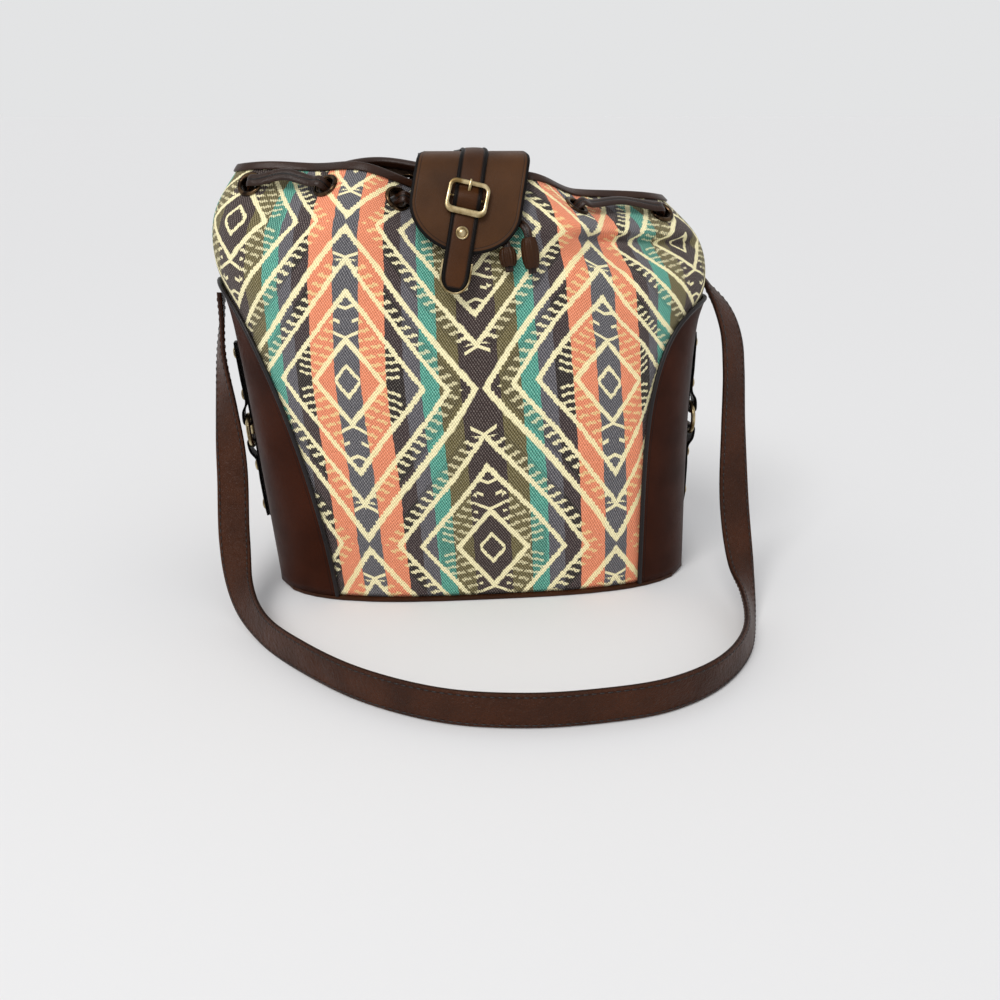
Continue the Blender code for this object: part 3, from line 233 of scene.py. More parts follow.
# %% Outlines at every height
def outline_tables(levels=241, marks=1441):
    """Superellipses |x/a|^n + |y/b|^n = 1 at many heights, walked at even runs."""
    share = np.linspace(0, 1, levels)[:, None]
    height = share * STATIONS[-1, 0]
    wide, deep, lean = (smooth_through(STATIONS[:, 0], STATIONS[:, k], height) for k in (1, 2, 3))
    square = 2 / (3.0 - 0.6 * share)
    a = np.linspace(0, 2 * math.pi, marks)[None, :]
    x, y = wide * powered(np.sin(a), square), -deep * powered(np.cos(a), square)
    step = np.hypot(np.diff(x, axis=1), np.diff(y, axis=1))
    run = np.concatenate([np.zeros((levels, 1)), np.cumsum(step, axis=1)], axis=1)
    even = np.linspace(0, 1, marks)
    xs, ys = (np.stack([np.interp(even, r / r[-1], row) for r, row in zip(run, table)])
              for table in (x, y))
    return xs, ys, run[:, -1], lean[:, 0]


OUT_X, OUT_Y, OUT_RUN, OUT_LEAN = outline_tables()


def looked_up(table, way, share):
    """Value between the four nearest cells of a table of heights and ways."""
    down = np.clip(share, 0, 1) * (table.shape[0] - 1)
    along = np.mod(way, 1.0) * (table.shape[1] - 1)
    r = np.minimum(down.astype(int), table.shape[0] - 2)
    c = np.minimum(along.astype(int), table.shape[1] - 2)
    fr, fc = down - r, along - c
    low = table[r, c] * (1 - fc) + table[r, c + 1] * fc
    high = table[r + 1, c] * (1 - fc) + table[r + 1, c + 1] * fc
    return low * (1 - fr) + high * fr


print("way round at mid height:", round(float(OUT_RUN[127]) * 1000), "mm")


# %% Gathers and the rim
def signed_way(way):
    """Way round between -0.5 and 0.5, with 0 in the middle of the front."""
    return np.mod(way + 0.5, 1.0) - 0.5


def wave_phase(way):
    """Phase that grows by pi from eyelet to eyelet, so each lies on a crossing."""
    half = len(SPOTS) / 2
    phase = (np.arange(len(SPOTS)) - half + 0.5) * math.pi
    turn_ = 2 * half * math.pi
    spots = np.r_[SPOTS[-3:] - 1, SPOTS, SPOTS[:3] + 1]
    phase = np.r_[phase[-3:] - turn_, phase, phase[:3] + turn_]
    return smooth_through(spots, phase, signed_way(way))


def rim_height(way):
    """Rim's height: slumped to the right, drooping at the ends, dipping in front."""
    one = np.ones_like(way)
    x, y = looked_up(OUT_X, way, one), looked_up(OUT_Y, way, one)
    half_width, half_depth = STATIONS[-1, 1], STATIONS[-1, 2]
    slump = 15 * MM * ease(x, 15 * MM, 70 * MM)
    droop = 9 * MM * (np.abs(x) / half_width) ** 6
    lift = 4.5 * MM * ease(-x, 0.55 * half_width, half_width)
    tilt = 5 * MM * ease(y, -half_depth, half_depth)
    scallop = 5 * MM * (1 + np.cos(wave_phase(way))) / 2
    dip = 13 * MM * np.exp(-((signed_way(way) + 0.015) / 0.075) ** 2)
    return RIM - slump - droop + lift - tilt - scallop - dip


# %% The wall itself
GATHER_FROM, GATHER_DEEP = 0.70, 8 * MM
BULGE_AT, HOLLOW_AT, FOLD_AT = 230 * MM, 212 * MM, 219 * MM


def bump_at(z, middle, width):
    """Bell curve exp(-((z - middle) / width)^2)."""
    return np.exp(-((z - middle) / width) ** 2)


def wall_point(way, share):
    """Outline point, pushed out along its normal by gathers and the folded shoulder."""
    way, share = np.broadcast_arrays(np.asarray(way, float), np.asarray(share, float))
    x, y = looked_up(OUT_X, way, share), looked_up(OUT_Y, way, share)
    step = 7e-4
    dx, dy = (looked_up(table, way + step, share) - looked_up(table, way - step, share)
              for table in (OUT_X, OUT_Y))
    size = np.hypot(dx, dy)
    z = FOOT + (rim_height(way) - FOOT) * share
    fade = np.clip((share - GATHER_FROM) / (1 - GATHER_FROM), 0, None) ** 1.5
    out = -GATHER_DEEP * fade * np.cos(wave_phase(way))
    right_end = 1 - ease(way, 0.20, 0.23)
    swell = bump_at(z, BULGE_AT, 9 * MM) - 0.7 * bump_at(z, HOLLOW_AT, 9 * MM)
    out = out + 4 * MM * ease(way, 0.045, 0.075) * right_end * swell
    tuck = FOLD_AT - 0.10 * (x - 90 * MM)
    fold = 2.2 * bump_at(z, tuck + 6 * MM, 4.5 * MM) - 4.4 * bump_at(z, tuck, 2.6 * MM)
    out = out + fold * MM * ease(way, 0.075, 0.095) * right_end
    lean = np.interp(np.clip(share, 0, 1), np.linspace(0, 1, len(OUT_LEAN)), OUT_LEAN)
    return np.stack([x + dy / size * out + lean, y - dx / size * out, z], axis=-1)


def wall_frame(way, share):
    """Point, outward normal and the directions round and up, by small steps."""
    way, share = np.broadcast_arrays(np.asarray(way, float), np.asarray(share, float))
    step = 1e-3
    round_ = wall_point(way + step, share) - wall_point(way - step, share)
    up = wall_point(way, np.minimum(share + step, 1)) - wall_point(way, np.maximum(share - step, 0))
    normal = unit(np.cross(round_, up))
    round_ = unit(round_)
    return wall_point(way, share), normal, round_, np.cross(normal, round_)


EYELET_SHARE = 1 - 11.5 * MM / RIM
EYELETS = wall_frame(SPOTS, np.full(len(SPOTS), EYELET_SHARE))
print("eyelet centres (mm):", np.round(EYELETS[0][:3] * 1000, 1).tolist())


# %% [markdown]
# ## From grids of points to meshes
# A surface is a grid of points. Two helpers turn it into a mesh: one for an
# open or closed grid, with a UV map in millimetres, and one that carries a
# section along a path, which makes straps, laces, edges and wire.

# %% Grid to mesh
def grid_faces(rows, columns, wrap_rows=False, wrap_columns=False):
    """Quads between neighbours of a grid, numbered row by row."""
    r = np.arange(rows if wrap_rows else rows - 1)[:, None]
    c = np.arange(columns if wrap_columns else columns - 1)[None, :]
    r1, c1 = (r + 1) % rows, (c + 1) % columns
    quad = [r * columns + c, r * columns + c1, r1 * columns + c1, r1 * columns + c]
    return np.stack([q + 0 * r + 0 * c for q in quad], axis=-1).reshape(-1, 4)


INNER = 20 * MM


def new_piece(name, points, faces, material, body, replaces=(), uv=None, edge=INNER):
    """Mesh object from arrays; uv and edge (distance from the border) are per point."""
    mesh = bpy.data.meshes.new(name)
    points = np.asarray(points).reshape(-1, 3)
    mesh.from_pydata(points.tolist(), [], [list(map(int, f)) for f in faces])
    border = mesh.attributes.new("edge", "FLOAT", "POINT")
    border.data.foreach_set("value", np.float32(np.zeros(len(points)) + np.ravel(edge) / MM))
    if uv is not None:
        layer = mesh.uv_layers.new(name="cloth")
        corner = np.empty(len(mesh.loops), dtype=np.int32)
        mesh.loops.foreach_get("vertex_index", corner)
        layer.data.foreach_set("uv", np.asarray(uv, np.float32)[corner].ravel())
    mesh.polygons.foreach_set("use_smooth", np.ones(len(mesh.polygons), bool))
    mesh.materials.append(material)
    mesh.validate()
    piece = bpy.data.objects.new(name, mesh)
    scene.collection.objects.link(piece)
    if replaces:
        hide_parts(*replaces)
    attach(piece, body)
    return piece


def thicken(piece, thickness, offset=-1.0):
    """Wall of even thickness behind a surface."""
    wall = piece.modifiers.new("thickness", "SOLIDIFY")
    wall.thickness = thickness
    wall.offset = offset
    wall.use_even_offset = False


# %% Section along a path
def run_of(path):
    """Distance along a path at each of its points."""
    return np.r_[0, np.cumsum(np.linalg.norm(np.diff(path, axis=0), axis=1))]


def full_turn(sides):
    """Angles of a full turn, evenly spaced."""
    return 2 * math.pi * np.arange(sides) / sides


def crowded(low, high, count):
    """Sine of even angles between two quarters of a turn, so steps shrink at the ends."""
    return np.sin(np.linspace(low, high, count) * math.pi / 2)


def spline(points, step, fine=24):
    """Centripetal Catmull-Rom curve through points, then even steps along it."""
    route = np.asarray(points, float)
    full = np.vstack([2 * route[0] - route[1], route, 2 * route[-1] - route[-2]])
    knots = np.cumsum(np.r_[0, np.sqrt(np.linalg.norm(np.diff(full[:, :3], axis=0), axis=1))])
    q = np.linspace(0, 1, fine, endpoint=False)[:, None]
    parts = []
    for k in range(1, len(full) - 2):
        p0, p1, p2, p3 = full[k - 1:k + 3]
        t0, t1, t2, t3 = knots[k - 1:k + 3]
        t = t1 + (t2 - t1) * q
        a1 = (t1 - t) / (t1 - t0) * p0 + (t - t0) / (t1 - t0) * p1
        a2 = (t2 - t) / (t2 - t1) * p1 + (t - t1) / (t2 - t1) * p2
        a3 = (t3 - t) / (t3 - t2) * p2 + (t - t2) / (t3 - t2) * p3
        b1 = (t2 - t) / (t2 - t0) * a1 + (t - t0) / (t2 - t0) * a2
        b2 = (t3 - t) / (t3 - t1) * a2 + (t - t1) / (t3 - t1) * a3
        parts.append((t2 - t) / (t2 - t1) * b1 + (t - t1) / (t2 - t1) * b2)
    curve = np.vstack(parts + [full[-2:-1]])
    run = run_of(curve[:, :3])
    marks = np.linspace(0, run[-1], max(3, int(round(run[-1] / step)) + 1))
    return np.stack([np.interp(marks, run, column) for column in curve.T], axis=1)


def swept(path, across, section):
    """Points path + across*s + face*t for each (s, t) of a section in metres.

    section is one list of pairs, or an array with a section for each path point.
    """
    along = unit(np.gradient(path, axis=0))
    across = unit(across - (across * along).sum(1, keepdims=True) * along)
    face = np.cross(along, across)
    section = np.broadcast_to(np.asarray(section, float), (len(path),) + np.shape(section)[-2:])
    return path[:, None] + across[:, None] * section[..., :1] + face[:, None] * section[..., 1:]


def tube_faces(rows, sides):
    """Faces of a swept section, with its two ends capped."""
    faces = grid_faces(rows, sides, wrap_columns=True)[:, ::-1].tolist()
    return faces + [list(range(sides)),
                    list(range(rows * sides - 1, (rows - 1) * sides - 1, -1))]


def round_strip(width, thick, edge=0.45, corner=6):
    """Closed section of a strip: flat faces and elliptic edges."""
    half, rise = width / 2, thick / 2
    a = np.linspace(-math.pi / 2, math.pi / 2, corner)
    tip = edge * thick
    right = np.stack([half - tip + tip * np.cos(a), rise * np.sin(a)], axis=1)
    flat = np.linspace(half - tip, -half + tip, 7)[1:-1]
    top = np.stack([flat, np.full(5, rise)], axis=1)
    return np.vstack([right, top, -right, -top])


print("strip section has", len(round_strip(10 * MM, 2 * MM)), "points")


# %% [markdown]
# ## Leather, brass and thread
# Leather gets its look from three layers: a fine pebbled grain in the bump, a
# slow drift of the brown, and a darker painted edge where a cut shows. The
# edge needs to know how far each point lies from the border, so pieces carry
# that distance as an attribute. Old brass is a warm metal with dull brown
# patches. Thread is plain, dark and a little glossy.

# %% Leather
def linear(hex_colour):
    """Linear RGB of a six-digit display colour."""
    c = np.array([int(hex_colour[i:i + 2], 16) for i in (0, 2, 4)]) / 255
    return tuple(float(v) for v in np.where(c < 0.04045, c / 12.92, ((c + 0.055) / 1.055) ** 2.4))


def leather(name, brown, edge_colour, grain=0.9, bump=0.25, rough=0.42, paint=1.4, groove=2.9,
            creases=0.0, shine=0.14):
    """Grained leather; paint and groove are distances from the border in mm."""
    graph = Graph(bpy.data.materials.new(name))
    mul, sub, mul_add = graph.words("MULTIPLY", "SUBTRACT", "MULTIPLY_ADD")
    place = graph.node("TexCoord").outputs["Object"]
    cells = graph.node("TexVoronoi", {"Scale": 1000 / grain, "Vector": place},
                       feature="DISTANCE_TO_EDGE")
    pores = graph.noise(place, 1400, 3)
    drift = graph.noise(place, 38, 5)
    folds = graph.noise(place, 210, 6, 1.2)
    border = graph.node("Attribute", attribute_name="edge").outputs["Fac"]
    painted = sub(1.0, mul(sub(border, paint), 3.0, clamp=True), clamp=True)
    near = graph.calc("ABSOLUTE", sub(border, groove))
    pressed = sub(1.0, mul(near, 2.6), clamp=True)
    light, dark = tuple(1.25 * v for v in brown), tuple(0.68 * v for v in brown)
    drifted = mul(sub(drift, 0.32), 2.6, clamp=True)
    dimple = mul(cells.outputs["Distance"], 5.0, clamp=True)
    colour = graph.mix(mul_add(dimple, -0.30, 0.30), graph.mix(drifted, dark, light), dark)
    colour = graph.mix(mul(pressed, 0.75), colour, edge_colour)
    height = mul_add(folds, creases, mul_add(dimple, 0.6, mul(pores, 0.4)))
    return graph.surface({"Base Color": graph.mix(painted, colour, edge_colour),
                          "Roughness": mul_add(drifted, -0.10, rough + 0.05),
                          "Specular IOR Level": mul_add(painted, -0.06, shine)},
                         mul_add(pressed, -2.0, height), bump, 0.0004)


EDGE_INK = linear("100D0C")
flap_leather = leather("flap leather", linear("472B14"), EDGE_INK, paint=1.5, groove=3.1,
                       rough=0.44)
belt_leather = leather("belt leather", linear("452710"), EDGE_INK, paint=1.9, groove=2.3,
                       rough=0.40)
gusset_leather = leather("side leather", linear("36170A"), EDGE_INK, paint=0.3, groove=3.2,
                         rough=0.46, shine=0.07)
strap_leather = leather("strap leather", linear("3E1E0B"), linear("1C0D08"), paint=0.0,
                        groove=1.95, rough=0.38, creases=4.5, bump=0.8, grain=1.3, shine=0.17)
binding_leather = leather("binding leather", linear("321B0F"), EDGE_INK, paint=0.3, groove=50,
                          creases=2.0, rough=0.34, shine=0.30)
lace_leather = leather("lace leather", linear("2B170C"), EDGE_INK, paint=0.3, groove=50,
                       rough=0.28, creases=1.0, shine=0.32)
dark_edge = leather("edge trim", linear("171213"), linear("0C0A0B"), paint=0.0, groove=1.2,
                    rough=0.40, shine=0.3)


# %% Brass and thread
def old_brass(name, bright, dull, rough=0.26, patch=160.0):
    """Metal whose colour and gloss drift between bright and tarnished."""
    graph = Graph(bpy.data.materials.new(name))
    mul, sub, mul_add = graph.words("MULTIPLY", "SUBTRACT", "MULTIPLY_ADD")
    place = graph.node("TexCoord").outputs["Object"]
    worn = mul(sub(graph.noise(place, patch, 6), 0.36), 3.4, clamp=True)
    return graph.surface({"Base Color": graph.mix(worn, dull, bright), "Metallic": 1.0,
                          "Roughness": mul_add(worn, -0.16, rough + 0.16)},
                         graph.noise(place, 1900), 0.12, 0.0002)


def thread(name, colour, rough=0.5):
    """Twisted sewing thread: short diagonal bands in colour."""
    graph = Graph(bpy.data.materials.new(name))
    place = graph.node("TexCoord").outputs["Object"]
    twist = graph.node("TexWave", {"Scale": 900, "Distortion": 0.5, "Vector": place},
                       wave_type="BANDS", bands_direction="DIAGONAL")
    bands = graph.mix(twist.outputs["Fac"], tuple(0.6 * v for v in colour), colour)
    return graph.surface({"Base Color": bands, "Roughness": rough})


brass = old_brass("antique brass", linear("D8C59A"), linear("77623F"))
bronze = old_brass("dark bronze", linear("66503A"), linear("241B15"), rough=0.20, patch=300.0)
black_thread = thread("dark thread", linear("190F0D"))


# %% [markdown]
# ## The printed canvas
# The print is a common woven-blanket pattern: upright bands of coral, brown,
# grey, teal and olive, crossed by nested cream diamonds with short hooked
# strokes between them. All of it follows from two folded distances: how far a
# point lies from the nearest coral axis, and how far up or down from the
# middle of a diamond. Both are rounded to small steps first, which gives the
# lines their stair-stepped edges. The weave is a fine twill on top.

# %% The print's sizes and its weave
HALF_WIDE, HALF_TALL = 78.0, 97.0
CORAL, BROWN, GREEN = (0.098, 0.295), (0.295, 0.427), (0.552, 0.850)
BANDS = [
    (0.000, "66656A"), (0.098, "F7966F"), (0.295, "46393A"), (0.427, "66646A"),
    (0.552, "5CAA97"), (0.690, "746A45"), (0.850, "453836"),
]
# The nested diamonds: share of the way to the border, and half the line's width.
RINGS = ((0.755, 0.0225), (0.570, 0.0240), (0.275, 0.0250))
# Bars on a diamond's axis: height, tilt, and where they start and end sideways.
BARS = (
    (0.762 * HALF_TALL, 0.42, -1, 8), (0.286 * HALF_TALL, 0.42, -1, 8),
    (45.3, 0.36, -1, 5.4), (36.0, 0.35, 3.7, 8), (0.685 * HALF_TALL, 0.1, 5.6, 8),
)
STAIR, STROKE_PITCH, AXIS_HALF, COMB_START = 1.8, 4.65, 7.7, 23.0


def twill(graph, u, v):
    """Two crossed ribs, 0 in the hollows and 1 on the threads."""
    mul, mul_add, sine = graph.words("MULTIPLY", "MULTIPLY_ADD", "SINE")
    steep = sine(mul(mul_add(v, 0.60, u), 2 * math.pi / 1.65))
    flat = sine(mul(mul_add(v, -1.0, u), 2 * math.pi / 1.9))
    return mul_add(steep, 0.34, mul_add(flat, 0.20, 0.5))


# %% The print as a material
def printed_canvas(name):
    """Colour from e = a/A + b/B, with a and b the distances from the nearest diamond's middle."""
    graph = Graph(bpy.data.materials.new(name))
    calc, mix = graph.calc, graph.mix
    mul, add, sub, div, mul_add, most, above, below, size = graph.words(
        "MULTIPLY", "ADD", "SUBTRACT", "DIVIDE", "MULTIPLY_ADD", "MAXIMUM",
        "GREATER_THAN", "LESS_THAN", "ABSOLUTE")
    cloth = graph.node("UVMap", uv_map="cloth").outputs[0]
    u, v = graph.node("SeparateXYZ", {0: cloth}).outputs[:2]
    shift = mul(sub(graph.noise(cloth, 0.22, 1), 0.5), 1.3)
    a, b = (add(size(sub(calc("FLOORED_MODULO", value, 2 * half), half)), shift)
            for value, half in ((u, HALF_WIDE), (v, HALF_TALL)))

    def diamond(across, up):
        """Share of the way from a diamond's middle to its border."""
        return add(div(across, HALF_WIDE), div(up, HALF_TALL))

    def stepped(value, step):
        """Value with a third of a stair's step added, for saw-toothed edges."""
        stair = mul(add(calc("FLOOR", div(value, step)), 0.5), step)
        return mul_add(sub(stair, value), 0.34, value)

    def near(value, middle, half, soft):
        """1 within half of the middle, fading over a soft edge."""
        return mul_add(sub(half, size(sub(value, middle))), 1.0 / soft, 0.5, clamp=True)

    def between(value, low, high):
        """1 where the value lies between two numbers."""
        return mul(above(value, low), below(value, high))

    def strokes(start, length, phase):
        """Short strokes that leave a line sideways and climb by a wavy quarter."""
        wave = mul(calc("SINE", mul(start, 2 * math.pi / 5.2)), 0.24)
        level = sub(far, mul_add(start, 0.24, wave))
        beat = calc("FRACT", div(add(level, phase), STROKE_PITCH))
        knots = mul_add(calc("COSINE", mul(start, 2 * math.pi / 3.3)), 0.045, 0.18)
        bar = mul_add(sub(knots, size(sub(beat, 0.5))), 9, 0.5, clamp=True)
        return mul(bar, between(start, 0.0, length))

    # Between the diamonds the same distances count from the next diamond's middle.
    outer = above(diamond(a, b), 1.0)
    side_, far = (add(value, mul(outer, mul_add(value, -2.0, half)))
                  for value, half in ((a, HALF_WIDE), (b, HALF_TALL)))
    e = diamond(stepped(side_, STAIR), stepped(far, STAIR * HALF_TALL / HALF_WIDE))
    plain = diamond(side_, far)
    share = div(a, HALF_WIDE)
    bands = graph.node("ValToRGB", {0: share})
    bands.color_ramp.interpolation = "CONSTANT"
    while len(bands.color_ramp.elements) < len(BANDS):
        bands.color_ramp.elements.new(0.5)
    for stop, (place, colour) in zip(bands.color_ramp.elements, BANDS):
        stop.position = place
        stop.color = (*linear(colour), 1)
    axis = below(side_, AXIS_HALF)
    beyond = sub(1.0, axis)
    coral, brown, green = (between(share, *band) for band in (CORAL, BROWN, GREEN))

    # Cream lines: the border, the rings, the small one in the middle, the bars.
    lines = mul(near(e, 0.962, 0.029, 0.008), sub(1.0, outer))
    for level, half in RINGS:
        lines = most(lines, near(e, level, half, 0.007))
    lines = most(lines, mul(axis, near(e, 0.102, 0.0165, 0.006)))
    for height, tilt, low, high in BARS:
        bar = near(sub(far, mul(side_, tilt)), height, 1.00, 0.4)
        lines = most(lines, mul(mul(axis, bar), between(side_, low, high)))

    # Strokes on the second and fourth line, and a comb along the coral band.
    from_second, from_fourth = (mul(sub(plain, level), HALF_WIDE) for level in (0.765, 0.285))
    ring = between(plain, 0.06, 0.545)
    inside = mul(beyond, below(side_, COMB_START))
    hook = mul(strokes(from_second, 8.6, 0.0), above(sub(side_, from_second), 1.0))
    for start, length, phase, where in (
            (from_fourth, 8.8, 1.5, inside), (sub(from_fourth, 10.5), 7.4, 3.9, inside),
            (sub(side_, COMB_START), 8.2, 3.3, mul(ring, above(far, 2.6)))):
        hook = most(hook, mul(strokes(start, length, phase), where))

    # Colours, from the bands up to the lines and the faded patches.
    cream, peach, pitch = linear("F9EFC0"), linear("FFD193"), linear("28221F")
    comb = most(between(plain, 0.765, 0.90), mul(ring, between(side_, COMB_START, 33.3)))
    ink = mul(comb, mul(beyond, sub(1.0, coral)))
    depth = mul_add(brown, 0.45, mul_add(green, -0.15, 0.40))
    colour = mix(mul(ink, depth), bands.outputs[0], pitch)
    tint = mix(coral, mix(mul(green, 0.32), cream, bands.outputs[0]), peach)
    colour = mix(hook, colour, tint)
    colour = mix(lines, colour, mix(mul(coral, 0.6), cream, linear("FFE7AC")))
    faded = mul(sub(graph.noise(cloth, 0.8, 5), 0.40), 0.55, clamp=True)
    colour = mix(faded, colour, mix(1.0, colour, (0.62, 0.58, 0.55), "MULTIPLY"))

    # The weave lightens and darkens the cloth, less so on the lines and on coral.
    weave = twill(graph, u, v)
    uneven = mul_add(sub(graph.noise(cloth, 0.9, 3), 0.5), 1.1, weave)
    strong = mul_add(most(lines, mul(coral, 0.8)), -0.75, 1.25)
    bright = mul_add(lines, 0.10, mul_add(sub(uneven, 0.5), strong, 1.0))
    pale = mul(sub(uneven, 0.62), 0.55, clamp=True)
    colour = mix(mul(pale, sub(1.0, lines)), mix(1.0, colour, bright, "MULTIPLY"),
                 (0.66, 0.62, 0.54))
    return graph.surface({"Base Color": colour, "Roughness": 0.86, "Specular IOR Level": 0.2,
                          "Sheen Weight": 0.10},
                         mul_add(graph.noise(cloth, 0.06, 3), 5.0, weave), 0.8, 0.0006)


canvas_print = printed_canvas("printed canvas")
print("print repeat (mm):", 2 * HALF_WIDE, "across,", 2 * HALF_TALL, "up")


# %% [markdown]
# ## Canvas panels
# Two panels of canvas meet at the side seams. Each is a fine grid on the wall,
# and the cells inside an eyelet are left out, which makes a real hole. The UV
# map holds the flat cloth in millimetres: the way round times one constant
# length, and the run up the wall, so the print bends with the gathers just as
# cloth does. Solidify then gives the canvas its thickness.

# %% Front and back panels
ROUND_MM = float(OUT_RUN[127]) * 1000
CANVAS, LINING = 1.2 * MM, 0.8 * MM


def wall_rows(coarse=70, fine=100, split=0.62):
    """Shares of the height, closer together in the gathered part."""
    return np.r_[np.linspace(0, split, coarse), np.linspace(split, 1, fine)[1:]]


def without_eyelets(faces, points, radius):
    """Faces whose middles lie outside every eyelet's bore."""
    middle = points[faces].mean(axis=1)
    keep = np.ones(len(faces), bool)
    for centre in EYELETS[0]:
        keep &= np.linalg.norm(middle - centre, axis=1) > radius
    return faces[keep]


EASE_HEIGHTS = np.array([-100, -77, -57, -27, 0, 25, 48, 67, 82, 91, 106, 118])
EASE_ACROSS = np.array([-122, -78, 0, 78, 97, 109])
EASE_SIDE = np.array([
    (-4, -5, -5, -4, -4, -6, -9, -12, -11, -12, -10, -9),
    (0, -1.2, -1.2, 0, 0.2, -1.8, -5.1, -7.9, -7.5, -8, -5.7, -4.6),
    (-0.7, -0.7, -0.7, 0.3, 1, 2.1, 2.1, 2, 2, 2, 2, 2),
    (-5.7, -5.1, -4, -1.8, 0.9, 3, 7.4, 8.9, 12.5, 10, 5, 4),
    (-5, -4, -3, -1, 2.2, 4.5, 9, 11, 15, 12, 7, 6),
    (-3, -1, 2, 6, 10, 12, 15, 16, 18, 15, 10, 9),
])
EASE_UP = np.array([
    (4.6, 2.3, 0.8, 0, 1, 4.5, 6, 6, 9, 10, 15, 20),
    (4.6, 2.3, 0.8, -0.3, 1.5, 5.2, 7.1, 6.2, 9.6, 9.8, 15.2, 20.7),
    (6.4, 7.5, 7.2, 4.4, -1.2, -3.7, -3, 1, 5, 7, 12, 15),
    (9.6, 4.3, 1.8, -3.8, -1.8, 0.4, 4.9, 5, 12.2, 12.5, 11.3, 15),
    (9, 4, 1, -5, -3, -2, 3, 4, 11, 12, 12, 15),
    (8, 3, -1, -7, -8, -8, -2, 2, 9, 12, 12, 15),
])


def eased(table, across, height):
    """Millimetres the cloth was pulled, linear between the columns and the heights."""
    column = np.stack([np.interp(height, EASE_HEIGHTS, row) for row in table])
    place = np.interp(across, EASE_ACROSS, np.arange(len(table)))
    k = np.minimum(place.astype(int), len(table) - 2)
    low, high = (np.take_along_axis(column, (k + step)[None], 0)[0] for step in (0, 1))
    return low + (high - low) * (place - k)


def canvas_panel(name, node_name, start):
    """One panel from side seam to side seam, starting at a way round."""
    way = np.linspace(start + 3e-4, start + 0.5 - 3e-4, 300)
    share = wall_rows()
    points = wall_point(way[None, :], share[:, None])
    climb = np.linalg.norm(np.diff(points, axis=0), axis=2)
    up = np.vstack([np.zeros((1, len(way))), np.cumsum(climb, axis=0)])
    low = share < GATHER_FROM
    last = low.nonzero()[0][-1]
    plain = np.median(up, axis=1)[:, None] + 0 * up
    up = np.where(low[:, None], plain, plain[last] + (up - up[last]))
    across = (way - (start + 0.25) - 0.0025)[None, :] * ROUND_MM + 0 * up
    height = up * 1000 - 137.0
    if start < 0:
        across, height = (across + eased(EASE_SIDE, across, height),
                          height + eased(EASE_UP, across, height))
    uv = np.stack([across, height + HALF_TALL], axis=-1).reshape(-1, 2)
    flat = points.reshape(-1, 3)
    faces = without_eyelets(grid_faces(len(share), len(way)), flat, 6.3 * MM)
    thicken(new_piece(name, flat, faces, canvas_print, "bag", (node_name,), uv),
            CANVAS)
    print(name, "faces:", len(faces))


canvas_panel("canvas_front", "front_panel", -0.25)
canvas_panel("canvas_back", "back_panel", 0.25)


# %% [markdown]
# ## Lining and binding
# The lining is the same wall set a little further in, so it follows every
# gather. The binding is a folded strip of leather: its section is an upside
# down U that goes over the rim, and it is carried once round the mouth.

# %% Lining
LINING_FACE, LINING_BACK = -1.5 * MM, -2.3 * MM
lining_cloth = leather("lining cloth", linear("6E5848"), EDGE_INK, grain=0.7, bump=0.3,
                       rough=0.8, paint=0.0, groove=50)


def lining_piece():
    """Closed tube of cloth inside the canvas, with the same eyelet holes."""
    way = np.linspace(-0.5, 0.5, 600, endpoint=False)
    share = wall_rows(50, 90)
    share[0] = 0.0088
    point, normal, _, _ = wall_frame(way[None, :], share[:, None])
    flat = (point + normal * LINING_FACE).reshape(-1, 3)
    faces = without_eyelets(grid_faces(len(share), len(way), wrap_columns=True), flat, 6.6 * MM)
    thicken(new_piece("lining_cloth", flat, faces, lining_cloth, "bag",
                      ("lining",)), LINING)


lining_piece()


# %% Binding over the rim
def binding_piece():
    """U section carried round the rim, closed on itself."""
    way = np.linspace(-0.5, 0.5, 900, endpoint=False)
    top, top_normal, _, top_up = wall_frame(way, np.ones_like(way))
    leg, leg_normal, _, _ = wall_frame(way, np.full_like(way, 0.988))
    outer, inner, thick = 0.3 * MM, LINING_BACK - 0.3 * MM, 1.1 * MM
    a = np.linspace(0, math.pi, 11)[1:-1]
    middle, reach = (outer + inner) / 2, (outer - inner) / 2 + thick
    section = [(outer, 0.0, 0.0), (outer + 0.3 * MM, 0.0, -0.35 * MM),
               (outer + 0.8 * MM, 0.0, -0.30 * MM), (outer + thick, 0.0, 0.15 * MM),
               (outer + thick, 0.5, 0.0), (outer + thick, 0.85, 0.0)]
    section += [(middle + reach * c, 1.0, 0.1 * MM + (thick + 0.5 * MM) * s)
                for c, s in zip(np.cos(a), np.sin(a))]
    section += [(inner - thick, 0.85, 0.0), (inner - thick, 0.5, 0.0),
                (inner - thick, 0.0, 0.15 * MM), (inner - 0.3 * MM, 0.0, -0.3 * MM),
                (inner, 0.0, 0.0), (inner, 0.9, 0.0), (outer, 0.9, 0.0)]
    rings = [leg * (1 - up) + top * up + (leg_normal * (1 - up) + top_normal * up) * out
             + top_up * lift for out, up, lift in section]
    points = np.stack(rings, axis=1)
    faces = grid_faces(len(way), len(section), wrap_rows=True, wrap_columns=True)
    new_piece("rim_leather", points, faces, binding_leather, "bag",
              ("rim_binding",))


binding_piece()


# %% [markdown]
# ## Side panels, tabs and rings
# A leather arch is laid over each end of the canvas. Its border is dark piping,
# a round cord of leather in the seam. On it two folded tabs hold a brass ring
# between them; each tab is riveted twice.

# %% Side panels with piping
PANEL_SPREAD, PANEL_TOP, PANEL_BACK, PANEL_THICK = 0.107, 0.745, 1.4 * MM, 1.4 * MM


